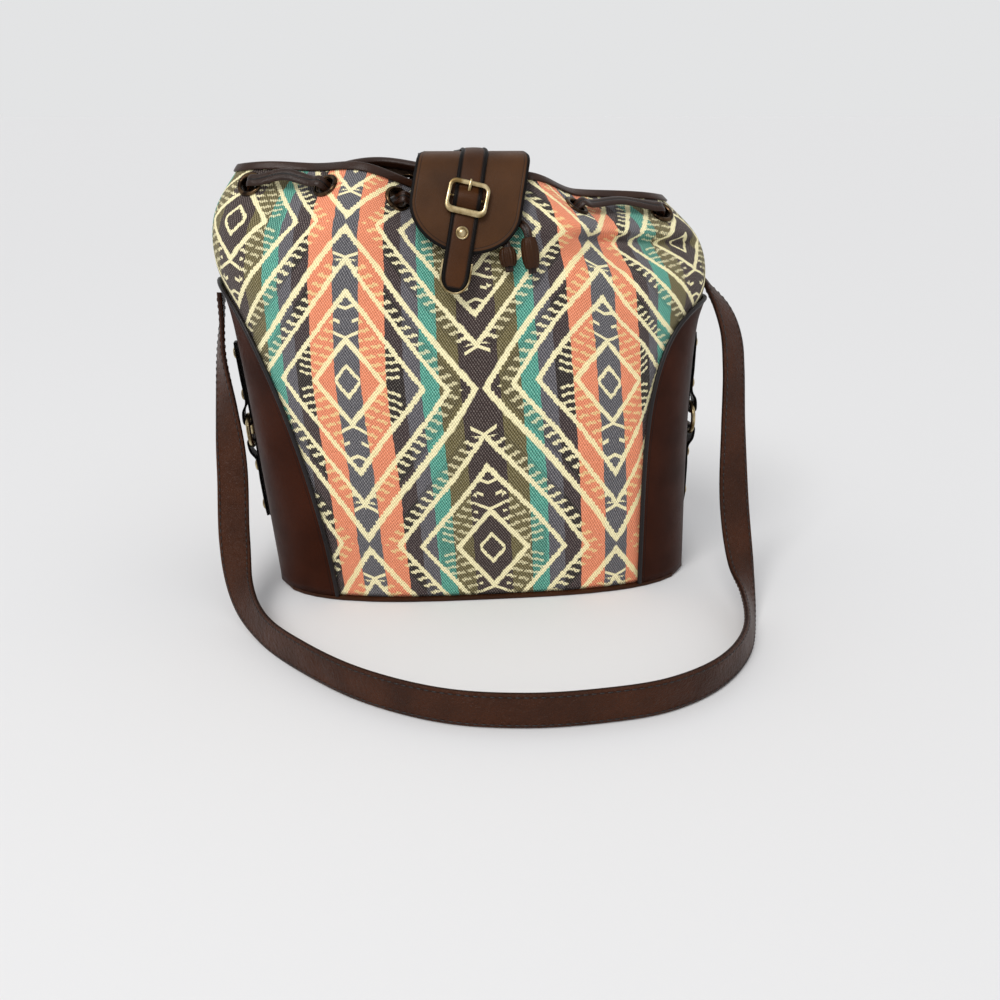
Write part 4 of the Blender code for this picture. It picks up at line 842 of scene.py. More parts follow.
def side_panel(side, word, high, wide):
    """Arch (across/spread)^wide + rise^high = 1 on the wall, and its piping."""
    rise = (1 - (1 - np.linspace(0, 1, 100)) ** 2.5)[:, None]
    across = crowded(-1, 1, 61)[None, :]
    spread = np.maximum(PANEL_SPREAD * (1 - rise ** high) ** (1 / wide), 0.004)
    point, normal, _, _ = wall_frame(side * 0.25 + across * spread, rise * PANEL_TOP)
    skin = (point + normal * (PANEL_BACK + PANEL_THICK)).reshape(-1, 3)
    a = np.linspace(0, math.pi, 260)
    way = side * 0.25 - PANEL_SPREAD * powered(np.cos(a), 2 / wide)
    p, n, _, _ = wall_frame(way, PANEL_TOP * np.clip(np.sin(a), 0, 1) ** (2 / high))
    seam_line = spline(np.c_[p, n * 0.01], 1.5 * MM)
    p, n = seam_line[:, :3], unit(seam_line[:, 3:])
    border = p + n * (PANEL_BACK + PANEL_THICK)
    gap = np.stack([np.linalg.norm(skin - b, axis=1) for b in border]).min(axis=0)
    thicken(new_piece("side_leather_" + word, skin, grid_faces(rise.size, across.size),
                      gusset_leather, "bag", ("side_panel_" + word,), edge=gap),
            PANEL_THICK)
    b = full_turn(10)
    ring = np.stack([1.35 * MM * np.cos(b), 1.5 * MM * np.sin(b)], axis=1)
    cord = swept(p + n * (PANEL_BACK + 0.9 * MM), n, ring)
    new_piece("side_piping_" + word, cord, tube_faces(len(p), 10), dark_edge, "bag")


for side, word, high, wide in ((-1, "left", 2.0, 2.0), (1, "right", 4.5, 3.0)):
    side_panel(side, word, high, wide)


# %% The line of the tabs
TAB_WIDE, TAB_LONG, LOOP = 12 * MM, 46 * MM, 1.4 * MM
RING_R, WIRE, CLEAR = 9.8 * MM, 1.5 * MM, 0.4 * MM
RING_AT = 97 * MM


def side_place(side):
    """Origin, outward and upward directions of the flat line the tabs lie on."""
    span = TAB_LONG + 1.6 * RING_R
    heights = np.linspace(RING_AT - span, RING_AT + span, 25)
    way = np.full(25, side * 0.25)
    point, normal, _, _ = wall_frame(way, (heights - FOOT) / (rim_height(way) - FOOT))
    line = point + normal * (PANEL_BACK + PANEL_THICK)
    up = unit((line[-1] - line[0]) * [1, 0, 1])
    out = np.array([side * up[2], 0, -side * up[0]])
    reach = ((line - line[12]) @ out).max()
    return line[12] + out * (reach + 0.3 * MM), out, up


def tab_line(direction):
    """Folded strip in its own plane: front layer, round the ring, back layer."""
    layer, gap = LOOP / 2, 0.3 * MM
    bend = WIRE + CLEAR + layer
    centre_out = bend + layer
    low = math.sqrt((RING_R - WIRE) ** 2 - (TAB_WIDE / 2) ** 2) - CLEAR - layer
    high = RING_R + WIRE + CLEAR
    front, end = 3 * layer + gap, high + TAB_LONG
    path = [(end, front), (high + 22 * MM, front), (high + 7 * MM, front),
            (high + 1.5 * MM, centre_out + 0.75 * bend)]
    for a in np.radians(90 + 20 * np.arange(10)):
        path.append((low + bend + bend * math.cos(a), centre_out + bend * math.sin(a)))
    path += [(high - 1 * MM, layer), (high + 7 * MM, layer), (high + 22 * MM, layer), (end, layer)]
    return [(u * direction, n) for u, n in path], front + layer, high, centre_out


# %% Turned shapes
def turned(profile, sides, place, axis):
    """Profile of (radius, height) pairs turned about an axis at a place."""
    axis = unit(np.asarray(axis, float))
    first = unit(np.cross(axis, [0, 0, 1] if abs(axis[2]) < 0.9 else [1, 0, 0]))
    second = np.cross(axis, first)
    a = full_turn(sides)
    around = first * np.cos(a)[:, None] + second * np.sin(a)[:, None]
    return np.array([place + around * r + axis * h for r, h in profile])


def turned_faces(rings, sides, closed):
    """Faces of a turned profile; open profiles are capped at both ends."""
    faces = grid_faces(rings, sides, wrap_rows=closed, wrap_columns=True).tolist()
    if closed:
        return faces
    return faces + [list(range(sides))[::-1], list(range((rings - 1) * sides, rings * sides))]


def torus(name, centre, axis, radius, wire, body, replaces):
    """Round wire bent into a ring."""
    b = full_turn(16)
    profile = np.stack([radius + wire * np.cos(b), wire * np.sin(b)], axis=1)
    new_piece(name, turned(profile, 72, centre, axis), turned_faces(16, 72, True), brass,
              body, replaces)


# %% Tabs, rivets and rings
tab_leather = leather("tab leather", linear("40220F"), EDGE_INK, paint=1.9, groove=50, rough=0.42)


def tab_and_rivets(side, word, label, direction):
    """One folded tab and its two domed rivets."""
    origin, out, up = side_place(side)
    path, front, high, centre_out = tab_line(direction)
    spine = np.array([origin + up * u + out * n for u, n in path])
    spine = spline(spine, 0.7 * MM)
    run = run_of(spine)
    from_end = np.minimum(run, run[-1] - run)
    taper = 0.72 + 0.28 * ease(from_end, 0, 5 * MM)
    scale = np.stack([taper, np.ones_like(taper)], axis=1)[:, None]
    section = round_strip(TAB_WIDE, LOOP, edge=0.5)[None] * scale
    points = swept(spine, np.tile([0.0, 1.0, 0.0], (len(spine), 1)), section)
    gap = TAB_WIDE / 2 * taper[:, None] - np.abs(section[..., 0])
    gap = np.minimum(gap, from_end[:, None] + 0.3 * MM)
    new_piece("tab_leather_%s_%s" % (word, label), points,
              tube_faces(len(spine), section.shape[1]), tab_leather, "bag",
              ("tab_%s_%s" % (word, label),), edge=gap)
    for number, along in enumerate((12 * MM, TAB_LONG - 7 * MM)):
        spot = origin + up * direction * (high + along) + out * front
        a = np.linspace(0, math.pi / 2, 8)
        profile = [(1.4 * MM, -1.2 * MM), (3.3 * MM, 0.05 * MM), (3.6 * MM, 0.25 * MM)]
        profile += [(3.55 * MM * math.cos(t), (0.45 + 1.35 * math.sin(t)) * MM) for t in a[:-1]]
        points = turned(profile, 32, spot, out)
        new_piece("rivet_head_%s_%s_%d" % (word, label, number + 1), points,
                  turned_faces(len(profile), 32, False), brass, "bag",
                  ("rivet_%s_%s_%d" % (word, label, number + 1),))


for side, word in ((-1, "left"), (1, "right")):
    for label, direction in (("upper", 1), ("lower", -1)):
        tab_and_rivets(side, word, label, direction)
    origin, out, up = side_place(side)
    torus("ring_wire_" + word, origin + out * tab_line(1)[3], out, RING_R, WIRE,
          "ring_%s_body" % word, ("ring_" + word,))


# %% [markdown]
# ## The flap
# The flap is a tongue of leather that comes over the mouth and hangs down the
# front, turned a little where it creases. All that lies on it is placed in the
# flap's own coordinates: across it, along it from its root, and above it. A
# cut border is rounded and painted, so the two skins of the flap meet in a
# rounded edge that is worked out from the distance to the border. A strip down
# the inside of the back holds the flap's root.

# %% Flap coordinates
FLAP_ROUTE = np.array([
    (41, 263.2), (20, 263.9), (-20, 265.8), (-42, 267), (-53, 263.6), (-60.8, 254.6),
    (-65.5, 243), (-70.1, 229), (-73.6, 215), (-77, 198), (-79.5, 184),
]) * MM
FLAP_LONG, FLAP_WIDE, FLAP_END, FLAP_THICK = 147 * MM, 31.5 * MM, 26 * MM, 2 * MM
FLAP_LINE = spline(np.c_[FLAP_ROUTE, np.zeros(len(FLAP_ROUTE))], 1 * MM)[:, :2]
FLAP_RUN = run_of(FLAP_LINE)
CREASE, SKEW, FLAP_SLIP, FLAP_ASIDE = 86 * MM, math.radians(10.9), 2.6 * MM, -7.3 * MM


def flap_point(x, length, rise):
    """Point over the flap's middle layer, turned by the skew past the crease."""
    x = x * (1 - 0.08 * (1 - ease(length, CREASE - 10 * MM, CREASE + 3 * MM)))
    turn_ = SKEW * ease(length, CREASE - 12 * MM, CREASE + 6 * MM)
    past = length - CREASE
    spread = x * np.cos(turn_) - past * np.sin(turn_)
    run = CREASE + past * np.cos(turn_) + x * np.sin(turn_) + FLAP_SLIP * ease(length, 0, 60 * MM)
    y, z = (np.interp(run, FLAP_RUN, part) for part in FLAP_LINE.T)
    dy, dz = (np.interp(run + 1 * MM, FLAP_RUN, part) - np.interp(run - 1 * MM, FLAP_RUN, part)
              for part in FLAP_LINE.T)
    size = np.hypot(dy, dz)
    return np.stack([spread + FLAP_ASIDE + 0 * rise, y + dz / size * rise, z - dy / size * rise],
                    axis=-1)


def flap_frame(x, length, rise=0.0):
    """Point, across, along and outward directions at one spot of the flap."""
    x, length, rise = (np.array([float(v)]) for v in (x, length, rise))
    step = 0.5 * MM
    across = unit(flap_point(x + step, length, rise) - flap_point(x - step, length, rise))[0]
    along = (flap_point(x, length + step, rise) - flap_point(x, length - step, rise))[0]
    along = unit(along - (along @ across) * across)
    return flap_point(x, length, rise)[0], across, along, np.cross(along, across)


# %% Flap leather with a rounded edge
def flap_piece():
    """Two skins, rise = +-half * sqrt(1 - (1 - d/r)^2) within r of the border."""
    straight = FLAP_LONG - FLAP_END
    start = np.r_[0, 0.12, 0.35, 0.7, 1.2] * MM
    length = np.r_[start, np.linspace(2 * MM, straight, 90),
                   straight + FLAP_END * crowded(0, 1, 46)[1:]][:, None]
    past = np.clip((length - straight) / FLAP_END, 0, 1)
    half = FLAP_WIDE * np.sqrt(np.clip(1 - past ** 2, 1e-7, 1))
    across = crowded(-1, 1, 71)[None, :]
    x, length = across * half, length + 0 * across
    a = np.linspace(0, math.pi, 400)
    rim_x = np.r_[np.full(200, -FLAP_WIDE), -FLAP_WIDE * np.cos(a), np.full(200, FLAP_WIDE)]
    down = np.linspace(0, straight, 200)
    rim_l = np.r_[down, straight + FLAP_END * np.sin(a), down[::-1]]
    gap = np.full(x.shape, 1.0)
    for bx, bl in zip(rim_x, rim_l):
        gap = np.minimum(gap, (x - bx) ** 2 + (length - bl) ** 2)
    gap = np.minimum(np.sqrt(gap), length)
    gap[:, [0, -1]] = 0
    gap[-1] = 0
    near = np.clip(gap / (1.1 * MM), 0, 1)
    rise = FLAP_THICK / 2 * np.sqrt(1 - (1 - near) ** 2)
    top, below = flap_point(x, length, rise), flap_point(x, length, -rise)
    rows, columns = x.shape
    count = rows * columns
    faces = np.vstack([grid_faces(rows, columns)[:, ::-1], grid_faces(rows, columns) + count])
    print("flap skins:", count * 2, "points")
    piece = new_piece("flap_leather", np.stack([top, below]), faces, flap_leather,
                      "flap_body", ("flap",), edge=np.stack([gap, gap]))
    weld = piece.modifiers.new("seam", "WELD")
    weld.merge_threshold = 0.02 * MM


flap_piece()


# %% Root of the flap
ROOT_WIDE, ROOT_LONG = 28.9 * MM, 31 * MM


def flap_root():
    """Strip from the hinge line down the inside of the back, and the roll along its top."""
    x = np.linspace(-ROOT_WIDE, ROOT_WIDE, 45) + FLAP_ASIDE
    one = np.ones(45)
    ways = np.linspace(0.40, 0.60, 400)
    back = wall_point(ways, np.ones(400))[:, 0]
    order = np.argsort(back)
    way = np.interp(x, back[order], ways[order])
    hinge = np.stack([x, FLAP_LINE[0, 0] * one, FLAP_LINE[0, 1] * one], axis=1)
    rows = [hinge]
    for share, out in ((0.990, -4.9), (0.966, -4.7), (0.940, -4.2), (0.912, -3.7)):
        point, normal, _, _ = wall_frame(way, share * one)
        rows.append(point + normal * out * MM)
    print("flap root to rim (mm):", np.round((rows[1] - hinge)[[0, 22, 44]] * 1000, 1).tolist())
    knots, fine = np.array([0.0, 9, 16, 23, 31]) * MM, np.linspace(0, ROOT_LONG, 50)
    rows = np.stack(rows)
    skin = np.array([[smooth_through(knots, rows[:, k, i], fine) for k in range(45)]
                     for i in range(3)]).transpose(2, 1, 0)
    gap = np.minimum((ROOT_WIDE - np.abs(x - FLAP_ASIDE))[None], (ROOT_LONG - fine)[:, None])
    thicken(new_piece("flap_root_strip", skin, grid_faces(50, 45), flap_leather,
                      "bag", edge=gap), 1.6 * MM, 0.0)
    b = full_turn(14)
    ring = 1.3 * MM * np.stack([np.cos(b), np.sin(b)], axis=1)
    roll = swept(hinge, np.tile([0.0, 1.0, 0.0], (45, 1)), ring)
    new_piece("flap_root_roll", roll, tube_faces(45, 14), dark_edge, "bag")


flap_root()


# %% [markdown]
# ## Buckled strap on the flap
# A narrow strap runs down the flap. It is padded a little in the middle, with a
# pressed groove and a rolled dark edge on each side. It climbs over the
# buckle's centre bar, and a thin metal trim holds its tip.

# %% Strap on the flap
BELT_WIDE, BELT_THICK, BELT_TIP = 15.5 * MM, 1.4 * MM, 168.5 * MM
BELT_RISE = FLAP_THICK / 2 + 0.3 * MM + BELT_THICK / 2
FRAME_RISE = BELT_RISE + BELT_THICK / 2 + 0.3 * MM
BUCKLE_AT, BUCKLE_TURN, STUD_AT = 117 * MM, math.radians(2.5), 136 * MM
BELT_OVER = FRAME_RISE + 2 * MM + BELT_THICK / 2


def belt_piece():
    """Crowned strap; its rise and width follow the way along it."""
    length = np.r_[8 * MM, np.linspace(8.4 * MM, BELT_TIP - 10 * MM, 230),
                   BELT_TIP - 10 * MM * (1 - crowded(0, 1, 30)[1:])][:, None]
    hump = np.exp(-(np.abs(length - BUCKLE_AT) / (4.3 * MM)) ** 3)
    rise = BELT_RISE + (BELT_OVER - BELT_RISE) * hump
    past = np.clip((length - (BELT_TIP - 10 * MM)) / (10 * MM), 0, 1)
    root = 0.94 + 0.06 * ease(length, 8 * MM, 10 * MM)
    share = np.sqrt(np.clip(1 - past ** 2.4, 2e-4, 1)) * root
    s = crowded(-1, 1, 41)
    gap = (1 - np.abs(s)) * BELT_WIDE / 2
    crown = 0.30 * MM * (1 - (s / 0.74) ** 2) * (np.abs(s) < 0.74)
    roll = 0.22 * MM * np.exp(-((gap - 1.15 * MM) / (0.75 * MM)) ** 2)
    groove = -0.42 * MM * np.exp(-((gap - 2.25 * MM) / (0.33 * MM)) ** 2)
    edge = np.sqrt(1 - (1 - np.clip(gap / (0.9 * MM), 0, 1)) ** 2)
    top = (BELT_THICK / 2 + crown + roll + groove) * edge
    under = -BELT_THICK / 2 * edge
    x = np.r_[s, s[-2:0:-1]] * BELT_WIDE / 2
    up = np.r_[top, under[-2:0:-1]]
    near = np.r_[gap, gap[-2:0:-1]]
    points = flap_point(share * x, length + 0 * x, rise + up * (0.35 + 0.65 * share))
    border = np.minimum(near * share, (BELT_TIP - length) * 0.8) + 0 * x
    new_piece("belt_strap", points, tube_faces(*border.shape), belt_leather,
              "flap_body", ("flap_belt",), edge=border)


belt_piece()


# %% Buckle
def rounded_rectangle(x0, x1, y0, y1, corner, each=11):
    """Closed loop of points round a rectangle with round corners."""
    a = np.linspace(0, math.pi / 2, each)
    loop = []
    for k, (cx, cy) in enumerate(((x1, y1), (x0, y1), (x0, y0), (x1, y0))):
        sx, sy = (1, -1, -1, 1)[k], (1, 1, -1, -1)[k]
        t = a + math.pi / 2 * k
        loop.append(np.stack([cx - sx * corner + corner * np.cos(t),
                              cy - sy * corner + corner * np.sin(t)], axis=1))
    return np.vstack(loop)


def buckle_piece():
    """Cast frame: its section blends from the outer to the inner rectangle."""
    point, across, along, out = flap_frame(0, BUCKLE_AT)
    c, s = math.cos(BUCKLE_TURN), math.sin(BUCKLE_TURN)
    across, along = across * c + along * s, along * c - across * s
    outer = rounded_rectangle(-11.75, 11.75, -9.75, 9.75, 4.6) * MM
    inner = rounded_rectangle(-9.55, 9.55, -6.95, 5.85, 2.4) * MM
    q = full_turn(16)
    wide, tall = 0.5 + 0.5 * powered(np.cos(q), 0.6), 0.5 + 0.5 * powered(np.sin(q), 0.7)
    flat = inner[:, None] + (outer - inner)[:, None] * wide[None, :, None]
    notch = np.exp(-(flat[..., 0] / (1.5 * MM)) ** 4) * (flat[..., 1] < 0)
    rise = FRAME_RISE + (1.9 * MM - 0.5 * MM * notch) * tall[None, :]
    points = point + across * flat[..., :1] + along * flat[..., 1:] + out * rise[..., None]
    faces = grid_faces(len(outer), 16, wrap_rows=True, wrap_columns=True)[:, ::-1]
    new_piece("buckle_cast", points, faces, brass, "flap_body", ("buckle_frame",))
    ends = [(0.7 * MM, -10.4 * MM), (0.7 * MM, 10.4 * MM)]
    new_piece("buckle_pin", turned(ends, 16, point + out * FRAME_RISE, across),
              turned_faces(2, 16, False), brass, "flap_body")
    prong(point, across, along, out)


def prong(point, across, along, out):
    """Wire that turns about the pin and lies over the belt and the frame."""
    angles = np.radians(np.linspace(-160, 90, 14))
    bend = 1.35 * MM
    over = FRAME_RISE + 1.4 * MM + 0.65 * MM
    path = [(bend * math.cos(t), FRAME_RISE + bend * math.sin(t)) for t in angles]
    path += [(-3 * MM, FRAME_RISE + bend), (-6.9 * MM, over), (-9.2 * MM, over),
             (-10.4 * MM, over - 0.4 * MM)]
    spine = spline(np.array([point + along * v + out * h for v, h in path]), 0.3 * MM)
    run = run_of(spine)
    width = 1.7 * MM - 0.5 * MM * ease(run, run[-1] - 4 * MM, run[-1])
    b = full_turn(14)
    wide = width[:, None]
    ring = np.stack([np.cos(b) * wide / 2, np.sin(b) * 0.45 * MM + 0 * wide], axis=-1)
    points = swept(spine, np.tile(across, (len(spine), 1)), ring)
    new_piece("buckle_tongue", points, tube_faces(len(spine), 14), brass,
              "flap_body", ("buckle_prong",))


buckle_piece()


# %% Stud and tip trim
def stud_piece():
    """Low ring with a dome in it, turned about the strap's normal."""
    point, _, _, out = flap_frame(0, STUD_AT, BELT_RISE + BELT_THICK / 2 + 0.2 * MM)
    a = np.linspace(0, math.pi / 2, 7)
    profile = [(1.3, -3.6), (1.3, 0), (3.55, 0), (3.7, 0.3), (3.5, 0.75), (3.1, 0.9),
               (2.7, 0.72), (2.55, 0.45)]
    profile += [(2.35 * math.cos(t), 0.45 + 1.3 * math.sin(t)) for t in a[:-1]]
    profile = [(r * MM, h * MM) for r, h in profile] + [(0.12 * MM, 1.76 * MM)]
    new_piece("stud_cap", turned(profile, 40, point, out), turned_faces(len(profile), 40, False),
              brass, "flap_body", ("flap_stud",))


def tip_trim():
    """Narrow metal channel round the strap's pointed end."""
    past = np.r_[np.linspace(-0.7, 0, 10)[:-1], crowded(0, 1, 22)]
    share = np.sqrt(np.clip(1 - np.clip(past, 0, 1) ** 2.4, 0, 1))
    side_x, side_l = share * BELT_WIDE / 2, BELT_TIP - 10 * MM + past * 10 * MM
    x, length = np.r_[side_x, -side_x[-2::-1]], np.r_[side_l, side_l[-2::-1]]
    flat = spline(np.stack([x, length, 0 * x], axis=1), 0.5 * MM)[:, :2]
    along = unit(np.gradient(flat, axis=0))
    away = np.stack([along[:, 1], -along[:, 0]], axis=1)
    away *= np.sign(((flat - [0, BELT_TIP - 12 * MM]) * away).sum(1, keepdims=True))
    q = full_turn(12)
    near, up = 0.45 * MM + 0.65 * MM * np.cos(q), 1.05 * MM * np.sin(q)
    place = flat[:, None] + away[:, None] * near[None, :, None]
    points = flap_point(place[..., 0], place[..., 1], BELT_RISE + 0.1 * MM + up + 0 * place[..., 0])
    new_piece("tip_edge", points, tube_faces(len(flat), 12), brass, "flap_body",
              ("belt_tip_trim",))


stud_piece()
tip_trim()


# %% [markdown]
# ## Eyelets, lace and beads
# An eyelet is one tube of thin brass rolled over both sides of the cloth. The
# lace is a strip folded and sewn shut, with a seam down its face. It goes in
# and out of every eyelet, and its two tails hang in front with a bead on each.

# %% Eyelets
def eyelet_pieces():
    """Rolled rings, turned about the wall's normal at each spot."""
    back = LINING_BACK - 0.3 * MM
    a = np.linspace(0, math.pi, 9)
    lip, crown = (7.8 - 4.9) / 2, 1.25
    profile = [(6.35 + lip * math.cos(t), 0.3 + crown * math.sin(t)) for t in a]
    profile += [(4.9, -1.2), (4.9, back / MM - 0.4)]
    profile += [(6.35 - lip * math.cos(t), back / MM - 0.15 - 0.75 * math.sin(t)) for t in a[3:]]
    profile += [(7.7, back / MM), (5.6, back / MM), (5.6, 0.3)]
    profile = [(r * MM, h * MM) for r, h in profile]
    faces = np.array(turned_faces(len(profile), 40, True))[:, ::-1]
    for k, (centre, normal) in enumerate(zip(*EYELETS[:2]), 1):
        new_piece("eyelet_ring_%02d" % k, turned(profile, 40, centre, normal), faces, bronze,
                  "bag", ("eyelet_%02d" % k,))


eyelet_pieces()


# %% Lace
# Rows of a tail: way, share of the height, mm off the wall, slant (0 to 1), share of the width.
TAIL_LEFT = [
    (-0.046, 0.957, 3.2, 0, 1), (-0.028, 0.962, 3.2, 0, 1), (-0.008, 0.962, 3.2, 0, 1),
    (0.009, 0.948, 3.2, 0.2, 0.9), (0.0215, 0.905, 2.9, 0.8, 0.64), (0.0278, 0.874, 4.2, 1, 0.64),
    (0.0284, 0.865, 5.2, 1, 0.64), (0.0280, 0.805, 6.0, 1, 0.64),
]
TAIL_RIGHT = [
    (0.0400, 0.925, 3.9, 0.6, 1), (0.0420, 0.902, 3.0, 1, 0.7), (0.0456, 0.888, 5.4, 1, 0.64),
    (0.0464, 0.878, 6.0, 1, 0.64), (0.0449, 0.793, 6.0, 1, 0.64),
]


def tail_rows(tail):
    """Place, direction across (x 0.01) and width share (x 0.01) along a tail."""
    way, share, out, slant, width = np.array(tail).T
    point, normal, round_, up = wall_frame(way, share)
    across = unit(up * (1 - slant)[:, None] + round_ * slant[:, None])
    return np.c_[point + normal * out[:, None] * MM, across * 0.01, width * 0.01]


def lace_rows():
    """The whole lace: left tail, six eyelets, round the back, six more, right tail."""
    order = [5, 4, 3, 2, 1, 0, 11, 10, 9, 8, 7, 6]
    inward = [(7.5, 4.6), (2, 4.2), (0, -0.9), (-2, -6), (-7.5, -7.6)]
    rows = [tail_rows(TAIL_LEFT)[::-1]]
    for number, k in enumerate(order):
        steps = inward if number % 2 == 0 else [(-s, d) for s, d in inward[::-1]]
        if number == 0:
            steps = [(4.5, 3.6)] + steps[1:]
        if number == 11:
            steps = steps[:-2] + [(-0.9, 4.6)]
        s, d = np.array(steps).T * MM
        centre, normal, round_, up = (part[k] for part in EYELETS)
        place = centre + round_ * s[:, None] + normal * d[:, None]
        if number % 2 == 0 and number:
            middle = (rows[-1][-1, :3] + place[0]) / 2 + up * 3.4 * MM + normal * 0.8 * MM
            rows.append(np.r_[middle, up * 0.01, 0.01][None])
        rows.append(np.c_[place, np.tile(up * 0.01, (len(s), 1)), np.full(len(s), 0.01)])
    return np.vstack(rows + [tail_rows(TAIL_RIGHT)])


LACE_HALF = 3.7 * MM


def lace_piece():
    """Flat doubled lace: rounded section with a seam pressed into its face."""
    path = spline(lace_rows(), 1.0 * MM)
    share = np.clip(path[:, 6] / 0.01, 0.5, 1)
    q = full_turn(36)
    w, t = powered(np.cos(q), 0.75), powered(np.sin(q), 0.85)
    seam = 1 - 0.20 * bump_at(w, 0, 0.16)
    section = np.stack([w * share[:, None] * LACE_HALF, t * seam * 1.3 * MM + 0 * share[:, None]],
                       axis=-1)
    points = swept(path[:, :3], path[:, 3:6], section)
    new_piece("lace", points, tube_faces(len(path), 36), lace_leather, "bag",
              ("drawstring",), edge=np.broadcast_to(np.abs(w) * LACE_HALF, points.shape[:2]))
    print("lace length (mm):", round(run_of(path[:, :3])[-1] * 1000))


lace_piece()


# %% Beads
bead_leather = leather("bead", linear("38200F"), EDGE_INK, paint=0.0, groove=50, rough=0.32)


def bead(name, tail, length, ribs, depth, node_name):
    """Barrel turned on the tail, fluted along its length by ribs."""
    rows = tail_rows(tail)
    upper, lower = rows[-2, :3], rows[-1, :3]
    axis = unit(upper - lower)
    t = np.linspace(-1, 1, 25)[:, None]
    swell = 5.0 * (1 - 0.30 * np.abs(t) ** 2.6)
    a = full_turn(96)
    around = 1 - depth * (0.5 + 0.5 * np.cos(ribs * a))[None, :] * (1 - np.abs(t) ** 6)
    first = unit(np.cross(axis, [0, 1, 0]))
    second = np.cross(axis, first)
    radius = swell * around * MM
    centre = (upper + lower) / 2
    spoke = first * np.cos(a)[:, None] + second * np.sin(a)[:, None]
    half = axis * length / 2 * MM
    skin = centre + spoke * radius[..., None] + half * t[..., None]
    bore = centre + spoke * 2.6 * MM
    rings = np.concatenate([(bore - half)[None], skin, (bore + half)[None]])
    new_piece(name, rings, turned_faces(27, 96, True), bead_leather, "bag", (node_name,))


bead("bead_round", TAIL_LEFT, 10.5, 14, 0.12, "bead_left")
bead("bead_long", TAIL_RIGHT, 17, 16, 0.07, "bead_right")


# %% [markdown]
# ## Shoulder strap
# One long strap is sewn into both side seams. It hangs down, turns on its edge
# and lies in a wide loop in front of the bag. Low wrinkles run across it, its
# fine creases come from the material, and its dark stitches are small rods,
# one every few millimetres along both edges.

# %% Strap surface
# Rows of the strap's route: a place (x, y, z in mm) and the direction across the strap.
STRAP_ROUTE = np.array([
    (-160.7, 0, 184, 0, -1, 0), (-160.9, -3, 170, 0.1, -1, 0), (-162.2, -10, 148, 0.3, -1, 0),
    (-160.5, -19, 116, 0.75, -0.75, 0), (-158, -34, 80, 1, -0.2, 0),
    (-157.5, -52, 42, 1, -0.1, 0.15), (-152, -78, 18.5, 0.8, -0.2, 0.8),
    (-137, -113, 10.05, 0.15, 0, 1), (-109, -155, 10.05, 0, 0, 1), (-77, -188, 10.05, 0, 0, 1),
    (-37, -212, 10.05, 0, 0, 1), (2, -220.5, 10.05, 0, 0, 1), (38, -220, 10.05, 0, 0, 1),
    (75, -213, 10.05, 0, 0, 1), (108, -193, 10.05, 0, 0, 1), (134, -159, 10.05, -0.15, 0, 1),
    (148, -118, 13.5, -0.5, 0, 1), (151.5, -90, 26, -0.85, 0, 0.5),
    (152.5, -66, 58, -1, -0.1, 0.1), (153.5, -50, 104, -0.89, -0.45, 0),
    (155, -38, 138, -0.82, -0.58, 0), (156, -25, 157, -0.76, -0.66, 0),
    (153, -12, 172, -0.68, -0.73, 0.1), (145, 0, 186, -0.2, -1, 0),
])
STRAP_WIDE, STRAP_THICK = 19.5 * MM, 3 * MM


def strap_line(step):
    """Path and directions across the strap at even steps."""
    way = np.c_[STRAP_ROUTE[:, :3] * MM, unit(STRAP_ROUTE[:, 3:]) * 0.01]
    return spline(way, step)


def strap_piece():
    """Rounded strip, a little puffed between its two rows of stitches."""
    path = strap_line(1.5 * MM)
    section = round_strip(STRAP_WIDE, STRAP_THICK, edge=0.5, corner=7)
    s = section[:, 0] / (STRAP_WIDE / 2)
    run = run_of(path[:, :3]) * 1000
    wrinkle = 0.30 * MM * np.sin(run / 5.3 + 1.5 * np.sin(run / 23)) * np.sin(run / 37) ** 2
    crown = np.clip(1 - (s / 0.78) ** 2, 0, 1)
    lift = (0.25 * MM + wrinkle[:, None]) * crown - 0.28 * MM * bump_at(np.abs(s), 0.80, 0.05)
    section = section + np.stack([0 * lift, np.sign(section[:, 1]) * lift], axis=-1)
    points = swept(path[:, :3], path[:, 3:6], section)
    points[..., 2] = np.maximum(points[..., 2], 0.3 * MM)
    new_piece("strap_leather", points, tube_faces(*section.shape[:2]), strap_leather,
              "bag", ("shoulder_strap",),
              edge=STRAP_WIDE / 2 - np.abs(section[..., 0]))
    print("strap length (mm):", round(run[-1]))


strap_piece()


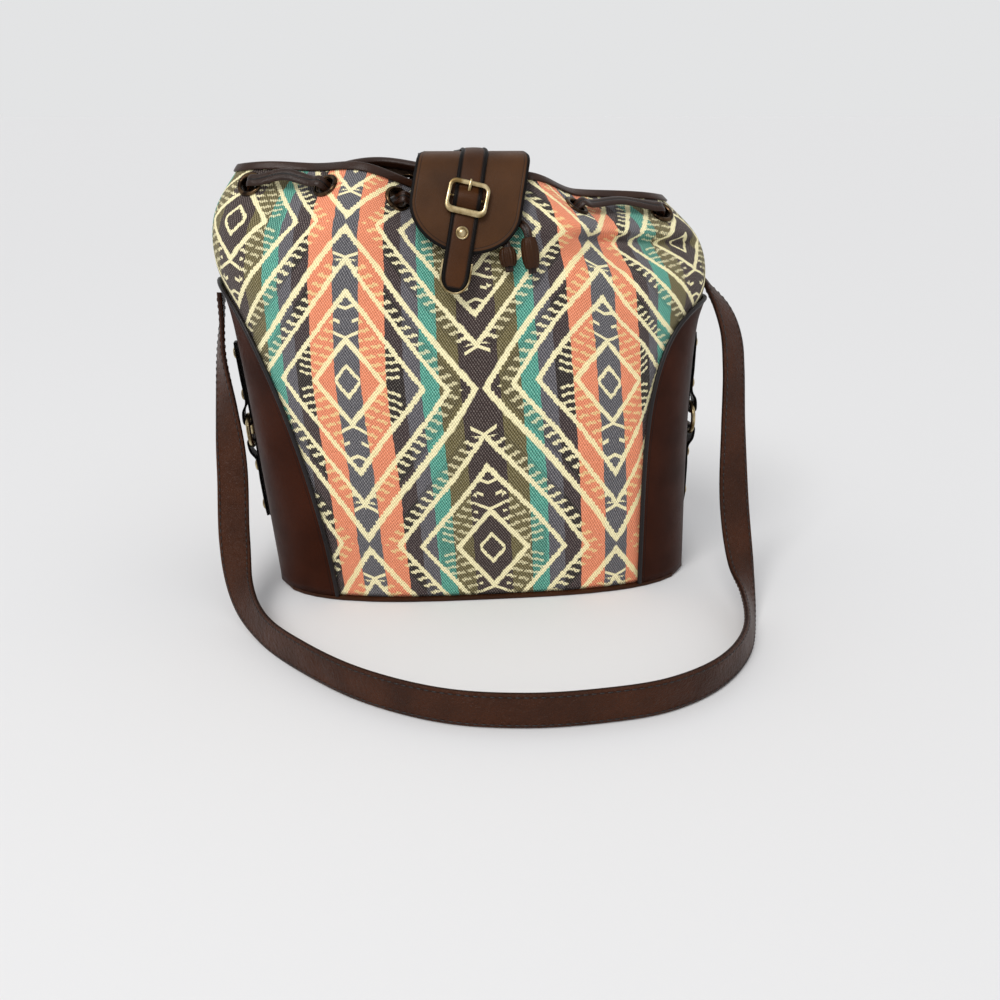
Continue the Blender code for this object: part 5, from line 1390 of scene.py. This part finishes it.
# %% Stitches
STITCH_LONG, STITCH_R = 3.0 * MM, 0.40 * MM


def strap_stitches():
    """Small humped rods in two rows on each face: five rings of six, sunk at both ends."""
    path = strap_line(4.2 * MM)
    line, across = path[1:-1, :3], path[1:-1, 3:6]
    along = unit(np.gradient(path[:, :3], axis=0))[1:-1]
    across = unit(across - (across * along).sum(1, keepdims=True) * along)
    face = np.cross(along, across)
    place = np.vstack([line + across * w * STRAP_WIDE * 0.40
                       + face * f * (STRAP_THICK / 2 - 0.1 * MM) for w in (-1, 1) for f in (-1, 1)])
    out = np.vstack([-face, face, -face, face])
    along = np.tile(along, (4, 1))
    t = np.array([-0.5, -0.32, 0, 0.32, 0.5]) * STITCH_LONG
    thin = np.array([0.55, 1, 1, 1, 0.55]) * STITCH_R
    sink = np.array([-1.3, 0.0, 0.25, 0.0, -1.3]) * STITCH_R
    q = full_turn(6)
    spine = place[:, None] + along[:, None] * t[:, None] + out[:, None] * sink[:, None]
    ring = (unit(np.cross(out, along))[:, None, None] * np.cos(q)[:, None]
            + out[:, None, None] * np.sin(q)[:, None])
    points = spine[:, :, None] + ring * thin[:, None, None]
    start = 30 * np.arange(len(place))[:, None]
    faces = (grid_faces(5, 6, wrap_columns=True) + start[:, :, None]).reshape(-1, 4).tolist()
    faces += (start + np.arange(6)[::-1]).tolist() + (start + 24 + np.arange(6)).tolist()
    print("strap stitches:", len(place))
    new_piece("strap_stitches", points, faces, black_thread, "bag")


strap_stitches()


# %% [markdown]
# ## Pieces that stay solid
# The base, its inner board and the two snap discs keep their plain solids; they
# only get the finish of leather, board and brass.

# %% Materials on the solids
board_card = leather("board", linear("7A6A58"), EDGE_INK, grain=1.8, bump=0.15, rough=0.8,
                     paint=0.0, groove=50)
base_leather = leather("base leather", linear("3A1F0F"), EDGE_INK, paint=-1.0, groove=50, rough=0.5)
for node_name, material in (("base_panel", base_leather), ("base_board", board_card),
                            ("snap_upper", brass), ("snap_lower", brass)):
    materials = bpy.data.objects[node_name].data.materials
    materials.clear()
    materials.append(material)
